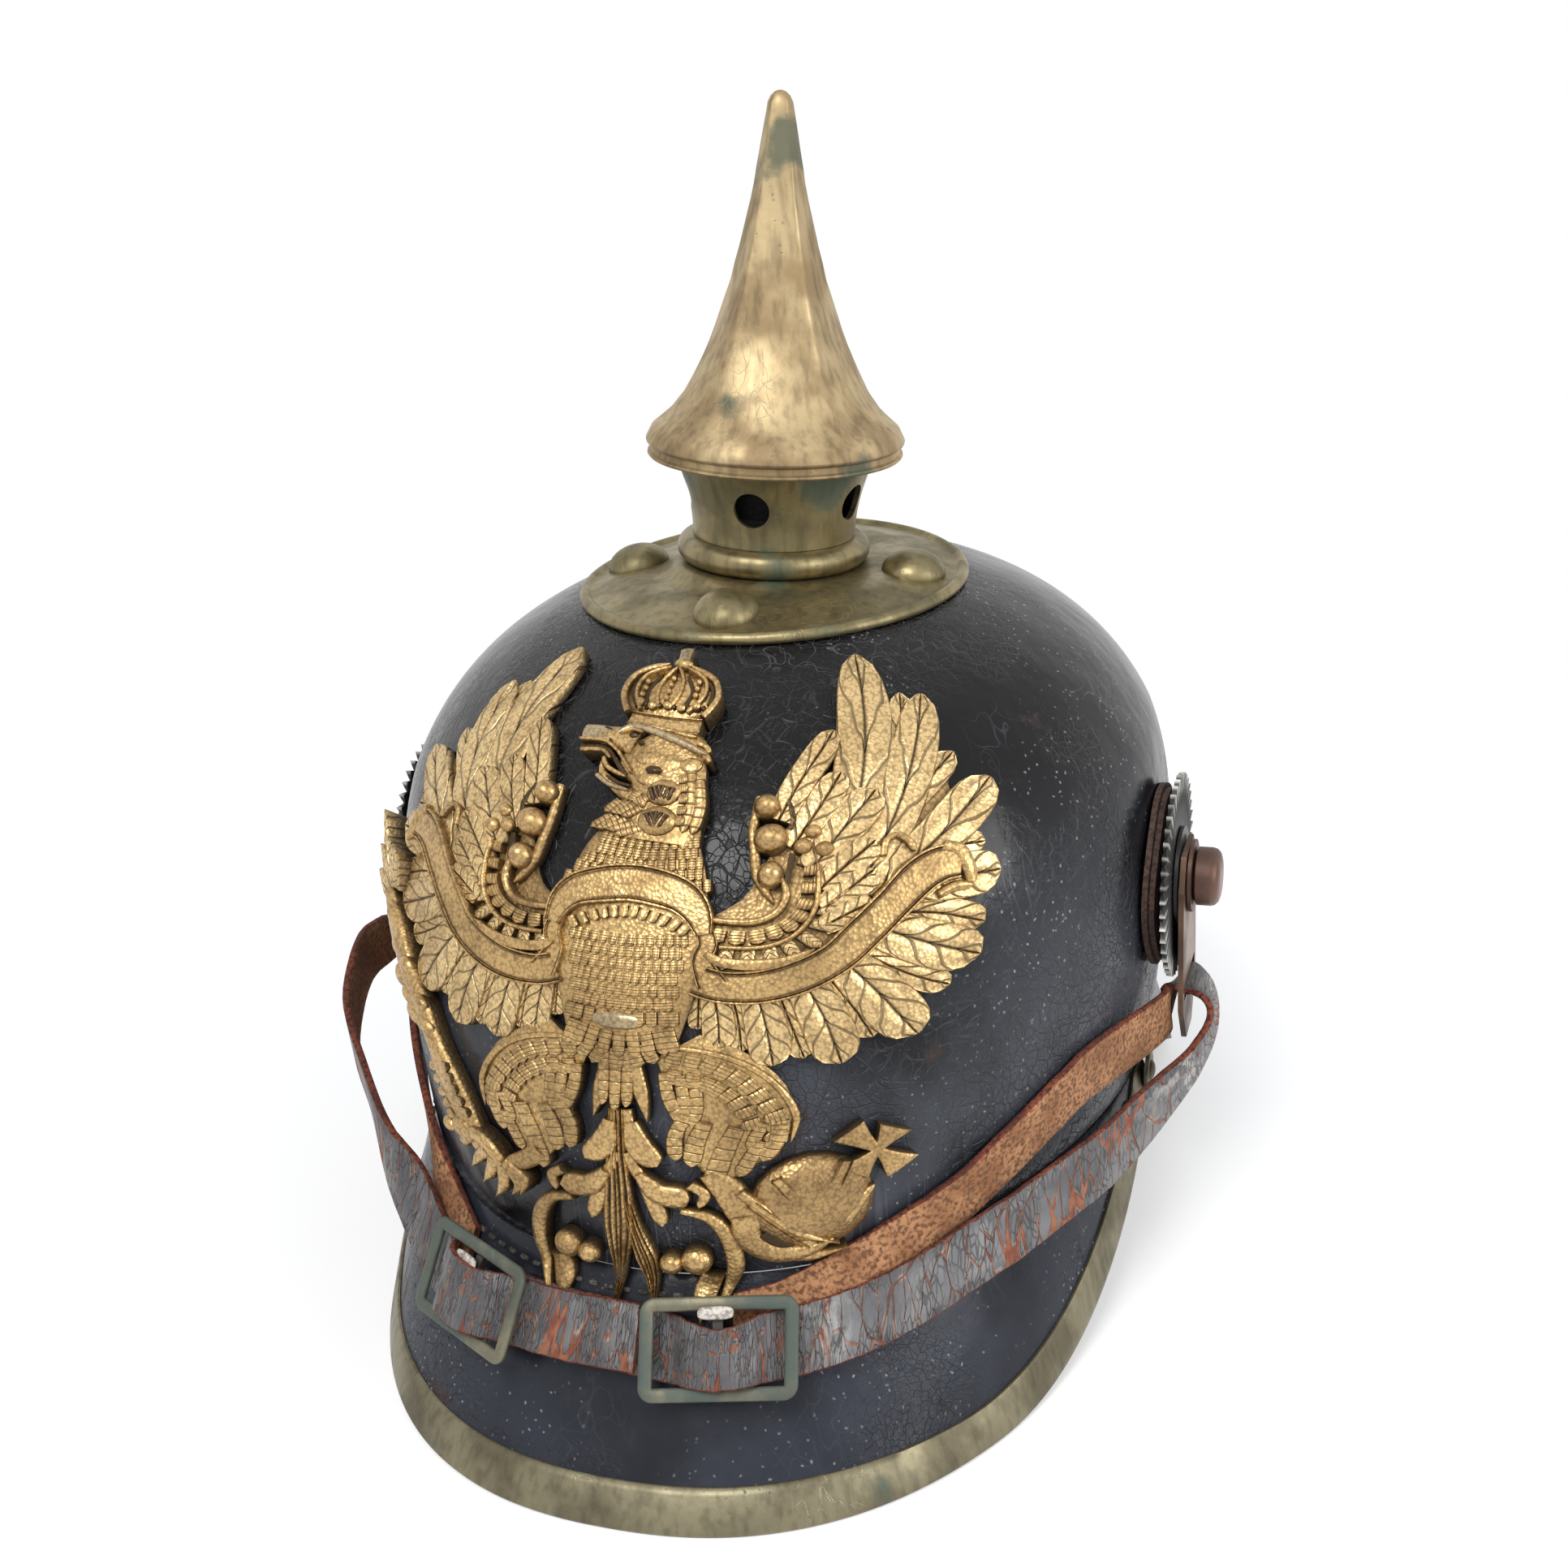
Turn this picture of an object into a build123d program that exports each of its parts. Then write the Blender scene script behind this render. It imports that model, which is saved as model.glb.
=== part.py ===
from build123d import *
from functools import cache
import math
import os

os.makedirs("parts", exist_ok=True)

# A spiked leather helmet. Millimetres, +Z up, the front faces -Y, the wearer's left side is +X.
# The origin is the middle of the head opening, in the plane of the shell's lower edge.

# Leather shell
shell_half_width = 93.1
brim_half_width = 84.5
side_lean_height = 75.0
shell_front = 111.7
shell_back = 115.0
shell_height = 116.3
shell_wall = 2.5
side_power = 3.95
front_power = 2.41
back_power = 3.0
crown_power = 2.14
section_level_shares = (0, 0.16, 0.32, 0.48, 0.62, 0.74, 0.84, 0.91, 0.955, 0.975)
outline_points = 6
crown_hole_radius = 17.0
overrun = 6.0
touch = 0.1

# Visors
visor_drop = 39.5
visor_reach = 28.3
rear_reach = 23.0
visor_wall = 2.8
visor_half_width = 89.0
visor_power = 2.3
visor_level_y = -98.0
visor_knee_y = -60.0
visor_end_y = -7.5
visor_end_z = -4.2
rear_level_y = 92.0
rear_knee_y = 58.0
rear_end_y = 22.0
rear_end_z = -4.0
collar_height = 8.0
collar_wall = 1.4
visor_level_shares = (0, 0.25, 0.5, 0.75, 1.0)

# Brass trim of the front visor
trim_sheet = 0.9
trim_band = 6.8
trim_band_forward = 5.0
trim_tab_radius = 4.6
trim_tab_y = -9.5
trim_tab_z = -2.4
trim_rivet_radius = 1.1
trim_rivet_head = 2.3
trim_rivet_head_height = 1.0
rivet_round_share = 0.8

# Brass top fitting: plate, studs, collar ring and neck
plate_radius = 44.4
plate_sheet = 1.1
plate_rim_radius = 1.2
plate_pitch = 1.1
plate_cove_radius = 25.6
plate_cove_height = 1.3
plate_bore_radius = 17.0
stud_circle_radius = 33.0
stud_radius = 7.2
stud_height = 4.6
stud_sink = 1.2
stud_shank_radius = 1.6
stud_shank_depth = 9.0
stud_leg_length = 11.0
stud_leg_width = 3.4
stud_leg_sheet = 0.9
washer_radius = 6.5
washer_thickness = 1.5
stiffener_radius = 41.0
stiffener_sheet = 1.0
unit_lean = 4.3
unit_lean_back = 2.2
ring_radius = 21.8
ring_height = 6.0
ring_inner_radius = 16.2
neck_foot_radius = 18.3
neck_top_radius = 22.4
neck_height = 17.6
neck_sheet = 1.3
vent_hole_radius = 4.0
vent_hole_height = 9.2
vent_hole_angles = (3, 80, 150, 222, 292)

# Spike: radii measured up from the flange ridge
flange_radius = 28.4
flange_depth = 3.6
flange_ridge_radius = 28.8
spike_height = 73.4
spike_sheet = 1.6
spike_height_shares = (
    0.033, 0.057, 0.082, 0.131, 0.179, 0.228, 0.323, 0.417, 0.511, 0.604, 0.695, 0.785, 0.875, 0.945, 0.985)
spike_radius_shares = (
    0.958, 0.886, 0.816, 0.722, 0.656, 0.592, 0.485, 0.403, 0.333, 0.271, 0.215, 0.174, 0.134, 0.104, 0.066)
spigot_radius = 15.4
spigot_length = 24.0
spigot_sheet = 1.2
spigot_clearance = 0.4
spigot_plate_sheet = 1.2

# Side posts, cockades and strap lugs
post_y = -4.0
post_z = 45.4
post_radius = 2.6
post_head_radius = 6.6
post_head_height = 6.0
post_washer_radius = 8.2
post_washer_sheet = 0.9
leather_washer_radius = 20.5
leather_washer_wall = 1.1
cockade_radius = 23.0
cockade_tooth_depth = 1.9
cockade_teeth = 44
cockade_sheet = 1.3
centre_disc_radius = 11.0
centre_disc_sheet = 0.8
lug_gap = 0.35
lug_sheet = 1.2
lug_width = 21.0
lug_top = 7.2
lug_slot_drop = 23.4
lug_slot_height = 4.2
lug_slot_width = 17.0
lug_tongue = 15.5
lug_tongue_end_width = 9.0
lug_top_share = 0.6
lug_taper_share = 0.75
nut_radius = 5.5
nut_thickness = 2.6
running_gap = 0.3

# Chinstrap
strap_width = 13.6
strap_leather = 1.6
strap_lift = 1.5
strap_layer_gap = 0.7
buckle_length = 31.5
buckle_height = 20.0
buckle_bar = 2.8
buckle_sheet = 1.2
buckle_centre_bar = 2.0
strap_level = -11.5
inner_rise = 32.5
outer_rise = 10.5
outer_spread = 3.0
arch_drop = 1.6
arch_crown = 0.4
lug_angle = 70.0
left_buckle_angle = 23.0
right_buckle_angle = 11.5
loop_bulge = 6.4
strap_contact_share = 0.42
buckle_dip_share = 1.8

# Stations of the strap: share of the lug's angle, share of the rise, and for the outer strand its lift
right_inner_shares = (
    (0.186, 0.092), (0.271, 0.138), (0.371, 0.246), (0.486, 0.385), (0.60, 0.538), (0.714, 0.708),
    (0.829, 0.86), (0.93, 0.92))
right_outer_shares = (
    (1.0, 1.0, 1.0), (0.914, 0.952, 0.87), (0.814, 0.886, 0.53), (0.714, 0.714, 0.33), (0.614, 0.524, 0.2),
    (0.514, 0.314, 0.1), (0.414, 0.143, 0.0), (0.329, 0.048, 0.0))
right_end_shares = ((-0.029, 0.028), (-0.114, 0.028), (-0.20, 0.022), (-0.243, 0.015))
left_inner_shares = (
    (0.40, 0.092), (0.486, 0.20), (0.586, 0.385), (0.686, 0.569), (0.786, 0.754), (0.871, 0.892),
    (0.943, 0.92))
left_outer_shares = (
    (0.857, 3.1, 4.1), (0.743, 2.3, 3.2), (0.643, 1.3, 2.4), (0.56, 0.52, 1.2), (0.487, 0.12, 0.2))
left_end_shares = ((0.171, 0.015), (0.10, 0.022), (0.029, 0.028), (-0.021, 0.028))

# Stations beside the lug: shares of the loop's bulge outwards, forwards and up, then shares of a right
# angle by which the leather's width stands up and by which its run turns away from the slot
inner_loop_shares = (
    (-0.60, 2.0, -0.35, 0.85, 1.0), (-0.58, 1.1, -0.2, 0.6, 0.9), (-0.42, 0.35, 0.1, 0.3, 0.55))
right_loop_shares = (
    (0.0, 0.0, 0.25, 0.0, 0.0), (0.40, 0.04, 0.17, 0.05, -0.3), (0.80, 0.18, -0.18, 0.16, -0.6),
    (1.0, 0.45, -0.72, 0.31, -0.9), (0.95, 0.9, -1.30, 0.47, -1.05), (0.62, 1.55, -1.95, 0.61, -1.15),
    (0.15, 2.35, -2.45, 0.75, -1.15))
left_loop_shares = (
    (0.0, 0.0, 0.25, 0.0, 0.0), (0.42, 0.05, 0.24, 0.06, -0.2), (0.80, 0.25, 0.22, 0.2, -0.45),
    (1.05, 0.80, 0.25, 0.42, -0.68), (1.10, 1.9, 0.45, 0.68, -0.85), (0.95, 3.5, 0.75, 0.86, -0.95),
    (0.60, 5.6, 0.95, 0.95, -1.0))

# Rear spine and its sliding ventilator
spine_width = 11.0
spine_sheet = 0.8
vent_z = 68.0
vent_pad_width = 16.0
vent_pad_length = 40.0
vent_pad_height = 3.4
vent_slot_width = 4.0
vent_slot_length = 13.0
slider_width = 11.0
slider_length = 19.0
slider_sheet = 1.0
slider_lip = 1.4
slider_travel = 13.0
slider_knob_radius = 2.2
slider_knob_height = 2.6
spine_stud_radius = 3.2
spine_stud_height = 1.6
spine_stud_z = 12.0

# Liner
band_wall = 1.3
band_gap = 0.2
band_height = 34.0
finger_wall = 1.2
finger_inset = 5.4
finger_height = 92.0
finger_start_z = 26.0
finger_count = 10
finger_gap = 5.0
finger_tip_radius = 24.0
lace_radius = 1.0
lace_circle_radius = 30.0

# Front plate in the shape of a crowned eagle, in shares of its half angle and its height
eagle_half_angle = 50.0
eagle_height_share = 0.75
eagle_gap = 0.3
eagle_wing_depth = 1.5
eagle_ribbon_depth = 2.4
eagle_body_depth = 3.2
eagle_head_depth = 2.9
eagle_leg_depth = 2.8
eagle_tail_depth = 2.0
eagle_orb_depth = 3.6
eagle_sceptre_depth = 2.2
eagle_loop_x = 27.0
eagle_loop_z = 45.0
eagle_loop_wire = 1.0
eagle_loop_radius = 2.4
wedge_length = 7.5

wing_shares = (
    (0.00, 0.60), (0.20, 0.55), (0.33, 0.556), (0.38, 0.59), (0.32, 0.625), (0.30, 0.665), (0.325, 0.715),
    (0.37, 0.75), (0.45, 0.77), (0.52, 0.83), (0.56, 0.83), (0.61, 0.90), (0.62, 0.952), (0.67, 0.972),
    (0.74, 0.966), (0.78, 0.94), (0.80, 0.89), (0.89, 0.87), (0.935, 0.835), (0.915, 0.775), (0.925, 0.727),
    (0.985, 0.705), (0.99, 0.67), (0.93, 0.62), (0.945, 0.55), (0.86, 0.485), (0.845, 0.43), (0.78, 0.41),
    (0.72, 0.355), (0.62, 0.35), (0.53, 0.325), (0.42, 0.34), (0.26, 0.365), (0.16, 0.38), (0.00, 0.40))
ribbon_shares = (
    (0.00, 0.60), (0.12, 0.595), (0.20, 0.575), (0.20, 0.49), (0.30, 0.475), (0.42, 0.48), (0.54, 0.51),
    (0.68, 0.585), (0.80, 0.62), (0.87, 0.60), (0.85, 0.55), (0.72, 0.51), (0.58, 0.45), (0.44, 0.415),
    (0.30, 0.41), (0.17, 0.42), (0.17, 0.545), (0.09, 0.56), (0.00, 0.565))
body_shares = (
    (0.00, 0.67), (0.17, 0.66), (0.20, 0.58), (0.18, 0.45), (0.16, 0.37), (0.08, 0.355), (0.00, 0.355))
head_shares = (
    (0.00, 0.985), (0.03, 0.96), (0.10, 0.945), (0.16, 0.91), (0.14, 0.865), (0.10, 0.84), (0.15, 0.80),
    (0.155, 0.68), (0.19, 0.60), (-0.20, 0.60), (-0.16, 0.665), (-0.11, 0.70), (-0.10, 0.725),
    (-0.18, 0.755), (-0.19, 0.79), (-0.29, 0.795), (-0.295, 0.835), (-0.14, 0.845), (-0.16, 0.865),
    (-0.22, 0.91), (-0.22, 0.945), (-0.11, 0.955), (-0.07, 0.96), (-0.07, 0.985))
leg_shares = (
    (0.00, 0.38), (0.16, 0.375), (0.30, 0.325), (0.40, 0.285), (0.40, 0.225), (0.31, 0.18), (0.26, 0.155),
    (0.16, 0.155), (0.11, 0.20), (0.09, 0.26), (0.04, 0.30), (0.00, 0.30))
tail_shares = (
    (0.00, 0.33), (0.06, 0.28), (0.05, 0.24), (0.17, 0.17), (0.19, 0.14), (0.15, 0.12), (0.23, 0.07),
    (0.21, 0.02), (0.15, 0.012), (0.13, 0.035), (0.07, 0.02), (0.03, 0.012), (0.00, 0.012))
orb_centre_shares = (0.43, 0.118)
orb_radius = 12.4
claw_shares = ((0.20, 0.16), (0.26, 0.155), (0.36, 0.10), (0.44, 0.045), (0.34, 0.045), (0.27, 0.09))
cross_shares = (
    (0.53, 0.155), (0.50, 0.215), (0.555, 0.235), (0.585, 0.19), (0.60, 0.232), (0.655, 0.205),
    (0.61, 0.175), (0.655, 0.15), (0.62, 0.125), (0.57, 0.16))
sceptre_shares = (
    (-0.28, 0.09), (-0.33, 0.07), (-0.47, 0.105), (-0.60, 0.16), (-0.70, 0.25), (-0.80, 0.33),
    (-0.93, 0.42), (-0.88, 0.455), (-0.72, 0.39), (-0.60, 0.29), (-0.50, 0.20), (-0.42, 0.14), (-0.28, 0.13))


# Rounded hull shared by the shell, the visors, the liner and the strap

def shrink(level, power):
    return max(0, 1 - level ** power) ** (1 / crown_power)


def hull_sizes(z, off=0, height=None):
    """Half width, front length, back length and outline power of the hull at the height z."""
    top = (height or shell_height) + off
    if z >= 0:
        level = min(z / top, 1)
        lean = (shell_half_width - brim_half_width) * max(0, 1 - z / side_lean_height)
        return ((shell_half_width + off) * shrink(level, side_power) - lean,
                (shell_front + off) * shrink(level, front_power),
                (shell_back + off) * shrink(level, back_power), 2)
    drop = -z / visor_drop
    return (visor_half_width + (brim_half_width - visor_half_width) * max(0, 1 - drop) ** 2 + off,
            shell_front + visor_reach * drop + off,
            shell_back + rear_reach * drop + off,
            2 + (visor_power - 2) * drop)


def hull_point(angle, z, off=0, height=None):
    """Point on the hull at an angle in degrees from the front towards +X."""
    width, front, back, power = hull_sizes(z, off, height)
    sine, cosine = math.sin(math.radians(angle)), math.cos(math.radians(angle))
    length = front if cosine > 0 else back
    return Vector(math.copysign(width * abs(sine) ** (2 / power), sine),
                  -math.copysign(length * abs(cosine) ** (2 / power), cosine), z)


def hull_face(z, off=0, height=None, front_only=False):
    """Outline of the +X half of the hull at the height z, or of its front quarter."""
    turns = [90 * i / (outline_points - 1) for i in range(outline_points)]
    front = [hull_point(a, z, off, height) for a in turns]
    back = [hull_point(90 + a, z, off, height) for a in turns]
    outline = [Spline(*front, tangents=[(1, 0, 0), (0, 1, 0)])]
    if front_only:
        outline.append(Line(front[-1], (0, 0, z)))
        outline.append(Line((0, 0, z), front[0]))
    else:
        outline.append(Spline(*back, tangents=[(0, 1, 0), (-1, 0, 0)]))
        outline.append(Line(back[-1], front[0]))
    return make_face(Wire(outline))


@cache
def block(off, low=0, high=None, height=None, front_only=False):
    """Solid hull between two heights. Below its lower edge it runs straight down."""
    full = (height or shell_height) + off
    high = min(high or full, section_level_shares[-1] * full)
    start = max(low, 0)
    between = [share * full for share in section_level_shares if start < share * full < high]
    levels = [start] + between + [high]
    faces = [hull_face(z, off, height, front_only) for z in levels]
    if low < 0:
        faces.insert(0, faces[0].moved(Location((0, 0, low))))
    return both_sides(loft(faces))


def layer(outer, inner, low=0, high=None, height=None):
    """Skin of the hull between two offsets and two heights."""
    return block(outer, low, high, height) - block(inner, low - overrun if low <= 0 else low, high, height)


@cache
def flare(off):
    """Solid that spreads down from the shell's lower edge and carries both visors."""
    shares = visor_level_shares + (1 + 2 * trim_sheet / visor_drop,)
    return both_sides(loft([hull_face(-share * visor_drop, off) for share in shares]))


def above_edge(level_y, knee_y, end_y, end_z, shift_y=0, shift_z=0):
    """Everything above a visor's edge curve, which runs level and then rises to its end."""
    far = math.copysign(2 * shell_back, level_y)
    low = -visor_drop + shift_z
    edge = Bezier((level_y + shift_y, low), (knee_y + shift_y, low), (end_y + shift_y, end_z + shift_z))
    corners = [(end_y + shift_y, shell_height), (far, shell_height), (far, low)]
    rest = Polyline((end_y + shift_y, end_z + shift_z), *corners, (level_y + shift_y, low))
    return extrude(Plane.YZ * make_face(edge + rest), 2 * shell_back, both=True)


def front_edge(shift_y=0, shift_z=0):
    return above_edge(visor_level_y, visor_knee_y, visor_end_y, visor_end_z, shift_y, shift_z)


def rear_edge(shift_y=0, shift_z=0):
    return above_edge(rear_level_y, rear_knee_y, rear_end_y, rear_end_z, shift_y, shift_z)


def across(radius, low, high, y, z):
    """Cylinder along X between two distances from the middle, on the +X side."""
    return Pos((low + high) / 2, y, z) * Rot(0, 90, 0) * Cylinder(radius, high - low)


def both_sides(solid):
    return solid + mirror(solid, Plane.YZ)


def ring_of(radius, angles):
    return [(radius * math.sin(math.radians(a)), -radius * math.cos(math.radians(a))) for a in angles]


def revolved(points):
    return revolve(Plane.XZ * make_face(Polyline(*points, close=True)), Axis.Z)


upwards = (Align.CENTER, Align.CENTER, Align.MIN)
downwards = (Align.CENTER, Align.CENTER, Align.MAX)
stud_places = ring_of(stud_circle_radius, (0, 90, 180, 270))
crown_z = section_level_shares[-1] * shell_height
unit = Pos(0, 0, crown_z) * Rot(-unit_lean_back, unit_lean, 0)
visor_skin = flare(0) - flare(-visor_wall)


# Tangent frame of the ventilator on the back of the shell

def back_slope(z):
    step = shell_wall
    return (hull_point(180, z + step).Y - hull_point(180, z - step).Y) / (2 * step)


vent_lean = math.degrees(math.atan(-back_slope(vent_z)))
vent_seat = Pos(*hull_point(180, vent_z)) * Rot(vent_lean, 0, 0)


def vent_box(width, length, low, high, shift=0):
    """Box in the ventilator's frame: width across, length up the shell, low and high outwards."""
    return vent_seat * (Pos(0, (low + high) / 2, shift) * Box(width, high - low, length))


# Shell and its openings

def stud_holes():
    cut = Part()
    for x, y in stud_places:
        cut += Pos(x, y, crown_z) * Cylinder(stud_shank_radius + touch, 3 * stud_shank_depth)
    return cut


def post_holes():
    hole = across(post_radius + touch, shell_half_width / 2, 2 * shell_half_width, post_y, post_z)
    return both_sides(hole)


def loop_holes():
    length = shell_front
    hole = Rot(90, 0, 0) * Cylinder(eagle_loop_radius, length)
    hole = Pos(eagle_loop_x, -length, eagle_loop_z) * hole
    return both_sides(hole)


def vent_hole():
    shift = -slider_travel / 4
    return vent_box(vent_slot_width, vent_slot_length, -4 * shell_wall, 2 * vent_pad_height, shift)


def spine_stud_hole():
    hole = Cylinder(stud_shank_radius / 2 + touch, 4 * overrun)
    return Pos(0, shell_back, spine_stud_z) * Rot(90, 0, 0) * hole


def make_shell():
    solid = layer(0, -shell_wall) - Pos(0, 0, shell_height) * Cylinder(crown_hole_radius, shell_height)
    return solid - stud_holes() - post_holes() - loop_holes() - vent_hole() - spine_stud_hole()


def collar(side):
    """Turned-up flange of a visor inside the shell."""
    off = -shell_wall - touch
    return layer(off, off - collar_wall, -visor_wall, collar_height) & side


def rivet_holes():
    low, high = brim_half_width - 2 * overrun, brim_half_width + overrun
    return both_sides(across(trim_rivet_radius + touch / 2, low, high, trim_tab_y, trim_tab_z))


def make_front_visor():
    return (visor_skin & front_edge()) + collar(front_edge()) - rivet_holes()


def make_rear_visor():
    return (visor_skin & rear_edge(0, -trim_sheet)) + collar(rear_edge()) - spine_stud_hole()


def tab_seat():
    """Distance from the middle to the back of the trim's end tabs."""
    return hull_sizes(trim_tab_z - trim_tab_radius)[0] + touch


def make_trim():
    sleeve = flare(trim_sheet) - flare(-visor_wall - trim_sheet)
    sleeve &= front_edge(0, -trim_sheet)
    sleeve -= front_edge(-trim_band_forward, trim_band)
    sleeve -= (flare(touch) - flare(-visor_wall - touch)) & front_edge(0, -touch)
    sleeve -= block(-shell_wall, -visor_wall - touch)
    tab = across(trim_tab_radius, tab_seat(), tab_seat() + trim_sheet, trim_tab_y, trim_tab_z)
    return sleeve + both_sides(tab) - rivet_holes()


def make_trim_rivets():
    seat = tab_seat() + trim_sheet
    shank = across(trim_rivet_radius, seat - 2 * visor_wall, seat + touch, trim_tab_y, trim_tab_z)
    head = across(trim_rivet_head, seat, seat + trim_rivet_head_height, trim_tab_y, trim_tab_z)
    rim = head.edges().sort_by(Axis.X)[-1]
    return both_sides(shank + fillet(rim, trim_rivet_head_height * rivet_round_share))


# Top fitting

def plate_rim_z():
    """Height at which the plate's rim meets the shell, at its sides."""
    level = (1 - (plate_radius / shell_half_width) ** crown_power) ** (1 / side_power)
    return shell_height * level


def make_base_plate():
    rim = plate_radius - plate_rim_radius
    disc = Pos(0, 0, shell_height) * Cylinder(rim, shell_height / 2)
    cove = Cone(plate_cove_radius, ring_radius, plate_cove_height + plate_sheet, align=upwards)
    sheet = (block(touch + plate_sheet) & disc) + unit * cove
    sheet -= unit * Pos(0, 0, plate_cove_height + plate_sheet) * Cylinder(ring_radius, overrun, align=upwards)
    bead = Rot(plate_pitch, 0, 0) * Pos(0, 0, plate_rim_radius) * Torus(rim, plate_rim_radius)
    solid = sheet + Pos(0, 0, plate_rim_z()) * bead - block(touch)
    return solid - Pos(0, 0, shell_height) * Cylinder(plate_bore_radius, shell_height) - stud_holes()


def make_base_studs():
    studs = Part()
    seat = crown_z - stud_sink
    rise = stud_height + stud_sink
    sphere = (stud_radius ** 2 + rise ** 2) / (2 * rise)
    cap = Pos(0, 0, rise - sphere) * Sphere(sphere)
    cap &= Pos(0, 0, rise) * Box(4 * stud_radius, 4 * stud_radius, 2 * rise)
    inside = crown_z - stud_shank_depth
    length = stud_shank_depth + stud_height / 2
    for x, y in stud_places:
        shank = Pos(x, y, inside) * Cylinder(stud_shank_radius, length, align=upwards)
        leg = Pos(x, y, inside) * Box(stud_leg_length, stud_leg_width, stud_leg_sheet)
        studs += (Pos(x, y, seat) * cap - block(plate_sheet + 2 * touch)) + shank + leg
    return studs


def make_stud_washers():
    low = crown_z - stud_shank_depth + stud_leg_sheet / 2 + touch
    washers = Part()
    for x, y in stud_places:
        body = Pos(x, y, low) * Cylinder(washer_radius, 3 * overrun, align=upwards)
        washers += body - Pos(x, y, low) * Cylinder(stud_shank_radius + touch, 6 * overrun)
    return washers & block(-shell_wall - stiffener_sheet - 2 * touch)


def make_stiffener():
    off = -shell_wall - touch
    sheet = block(off, crown_z / 2) & Pos(0, 0, shell_height) * Cylinder(stiffener_radius, shell_height / 2)
    sheet -= block(off - stiffener_sheet, crown_z / 2 - overrun)
    return sheet - Pos(0, 0, shell_height) * Cylinder(crown_hole_radius, shell_height) - stud_holes()


def make_collar_ring():
    half = ring_height / 2
    bulge = ring_radius - half
    profile = Polyline((ring_inner_radius, 0), (bulge, 0)) + ThreePointArc(
        (bulge, 0), (ring_radius, half), (bulge, ring_height)) + Polyline(
        (bulge, ring_height), (ring_inner_radius, ring_height), (ring_inner_radius, 0))
    solid = revolve(Plane.XZ * make_face(profile), Axis.Z)
    return unit * Pos(0, 0, ring_base()) * solid


def ring_base():
    return plate_sheet + plate_cove_height + touch


def neck_base():
    return ring_base() + ring_height + touch


def make_neck():
    outside = Spline((neck_foot_radius, 0), (neck_foot_radius + neck_sheet / 2, neck_height / 3),
                     (neck_top_radius, neck_height))
    inside = [(neck_top_radius - neck_sheet, neck_height), (neck_foot_radius - neck_sheet, 0)]
    profile = outside + Polyline((neck_top_radius, neck_height), *inside, (neck_foot_radius, 0))
    solid = revolve(Plane.XZ * make_face(profile), Axis.Z)
    for x, y in ring_of(1, vent_hole_angles):
        way = Plane(origin=(0, 0, vent_hole_height), z_dir=(x, y, 0))
        solid -= way * (Pos(0, 0, neck_top_radius) * Cylinder(vent_hole_radius, 2 * neck_foot_radius))
    return unit * Pos(0, 0, neck_base()) * solid


def make_spigot():
    """Tube that guides the spike's stem, held in the bead and standing up inside the neck."""
    stand = neck_height / 3
    flange = Cylinder(ring_inner_radius - touch, neck_base(), align=upwards)
    tube = Pos(0, 0, neck_base()) * Cylinder(spigot_radius, stand, align=upwards)
    bore = Cylinder(spigot_radius - spigot_sheet, 4 * (neck_base() + stand))
    return unit * Pos(0, 0, touch) * (flange + tube - bore)


def make_spike():
    ridge = neck_base() + neck_height + running_gap + flange_depth
    rows = zip(spike_radius_shares, spike_height_shares)
    outer = [(flange_ridge_radius * r, spike_height * h) for r, h in rows]
    curve = Spline(*outer)
    tip = outer[-1]
    lower = Polyline((0, spike_height), (tip[0] / 2, spike_height - tip[0] / 6), tip)
    flange_end = (flange_radius, -flange_depth)
    foot = Polyline(outer[0], (flange_ridge_radius, 0), flange_end, (0, -flange_depth), (0, spike_height))
    solid = revolve(Plane.XZ * make_face(lower + curve + foot), Axis.Z)
    hollow = [(0, -2 * flange_depth), (flange_radius - 3 * spike_sheet, -2 * flange_depth),
              (flange_radius - 3 * spike_sheet, 0)]
    hollow += [(r - 2 * spike_sheet, h) for r, h in outer[1:9]]
    hollow.append((0, outer[9][1]))
    solid -= revolved(hollow)
    stem_radius = spigot_radius - spigot_sheet - spigot_clearance
    foot_plane = Pos(0, 0, -flange_depth)
    web = foot_plane * Cylinder(flange_radius - 2 * spike_sheet, spigot_plate_sheet, align=upwards)
    stem = foot_plane * Cylinder(stem_radius, spigot_length, align=downwards)
    stem -= Cylinder(stem_radius - spigot_sheet, 4 * spigot_length)
    return unit * Pos(0, 0, ridge) * (solid + web + stem)


# Side posts, cockades and lugs

side_seat = hull_sizes(post_z)[0]
washer_face = side_seat + 2 * leather_washer_wall + 5 * touch
cockade_face = washer_face + cockade_sheet
lug_face = cockade_face + centre_disc_sheet + lug_gap
lug_out = lug_face + lug_sheet
head_seat = lug_out + running_gap + post_washer_sheet


def make_leather_washer(layer):
    low = touch + layer * (leather_washer_wall + touch)
    disc = across(leather_washer_radius - layer, shell_half_width / 2, 2 * shell_half_width, post_y, post_z)
    return (block(low + leather_washer_wall) & disc) - block(low) - post_holes()


def make_cockade():
    points = []
    for i in range(2 * cockade_teeth):
        radius = cockade_radius - (i % 2) * cockade_tooth_depth
        angle = math.pi * i / cockade_teeth
        points.append((radius * math.cos(angle), radius * math.sin(angle)))
    disc = extrude(make_face(Polyline(*points, close=True)), cockade_sheet)
    solid = disc - Cylinder(post_radius + touch, 4 * cockade_sheet)
    return Pos(washer_face, post_y, post_z) * Rot(0, 90, 0) * solid


def make_centre_disc():
    body = across(centre_disc_radius, cockade_face + touch, cockade_face + centre_disc_sheet, post_y, post_z)
    return body - post_holes()


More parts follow.
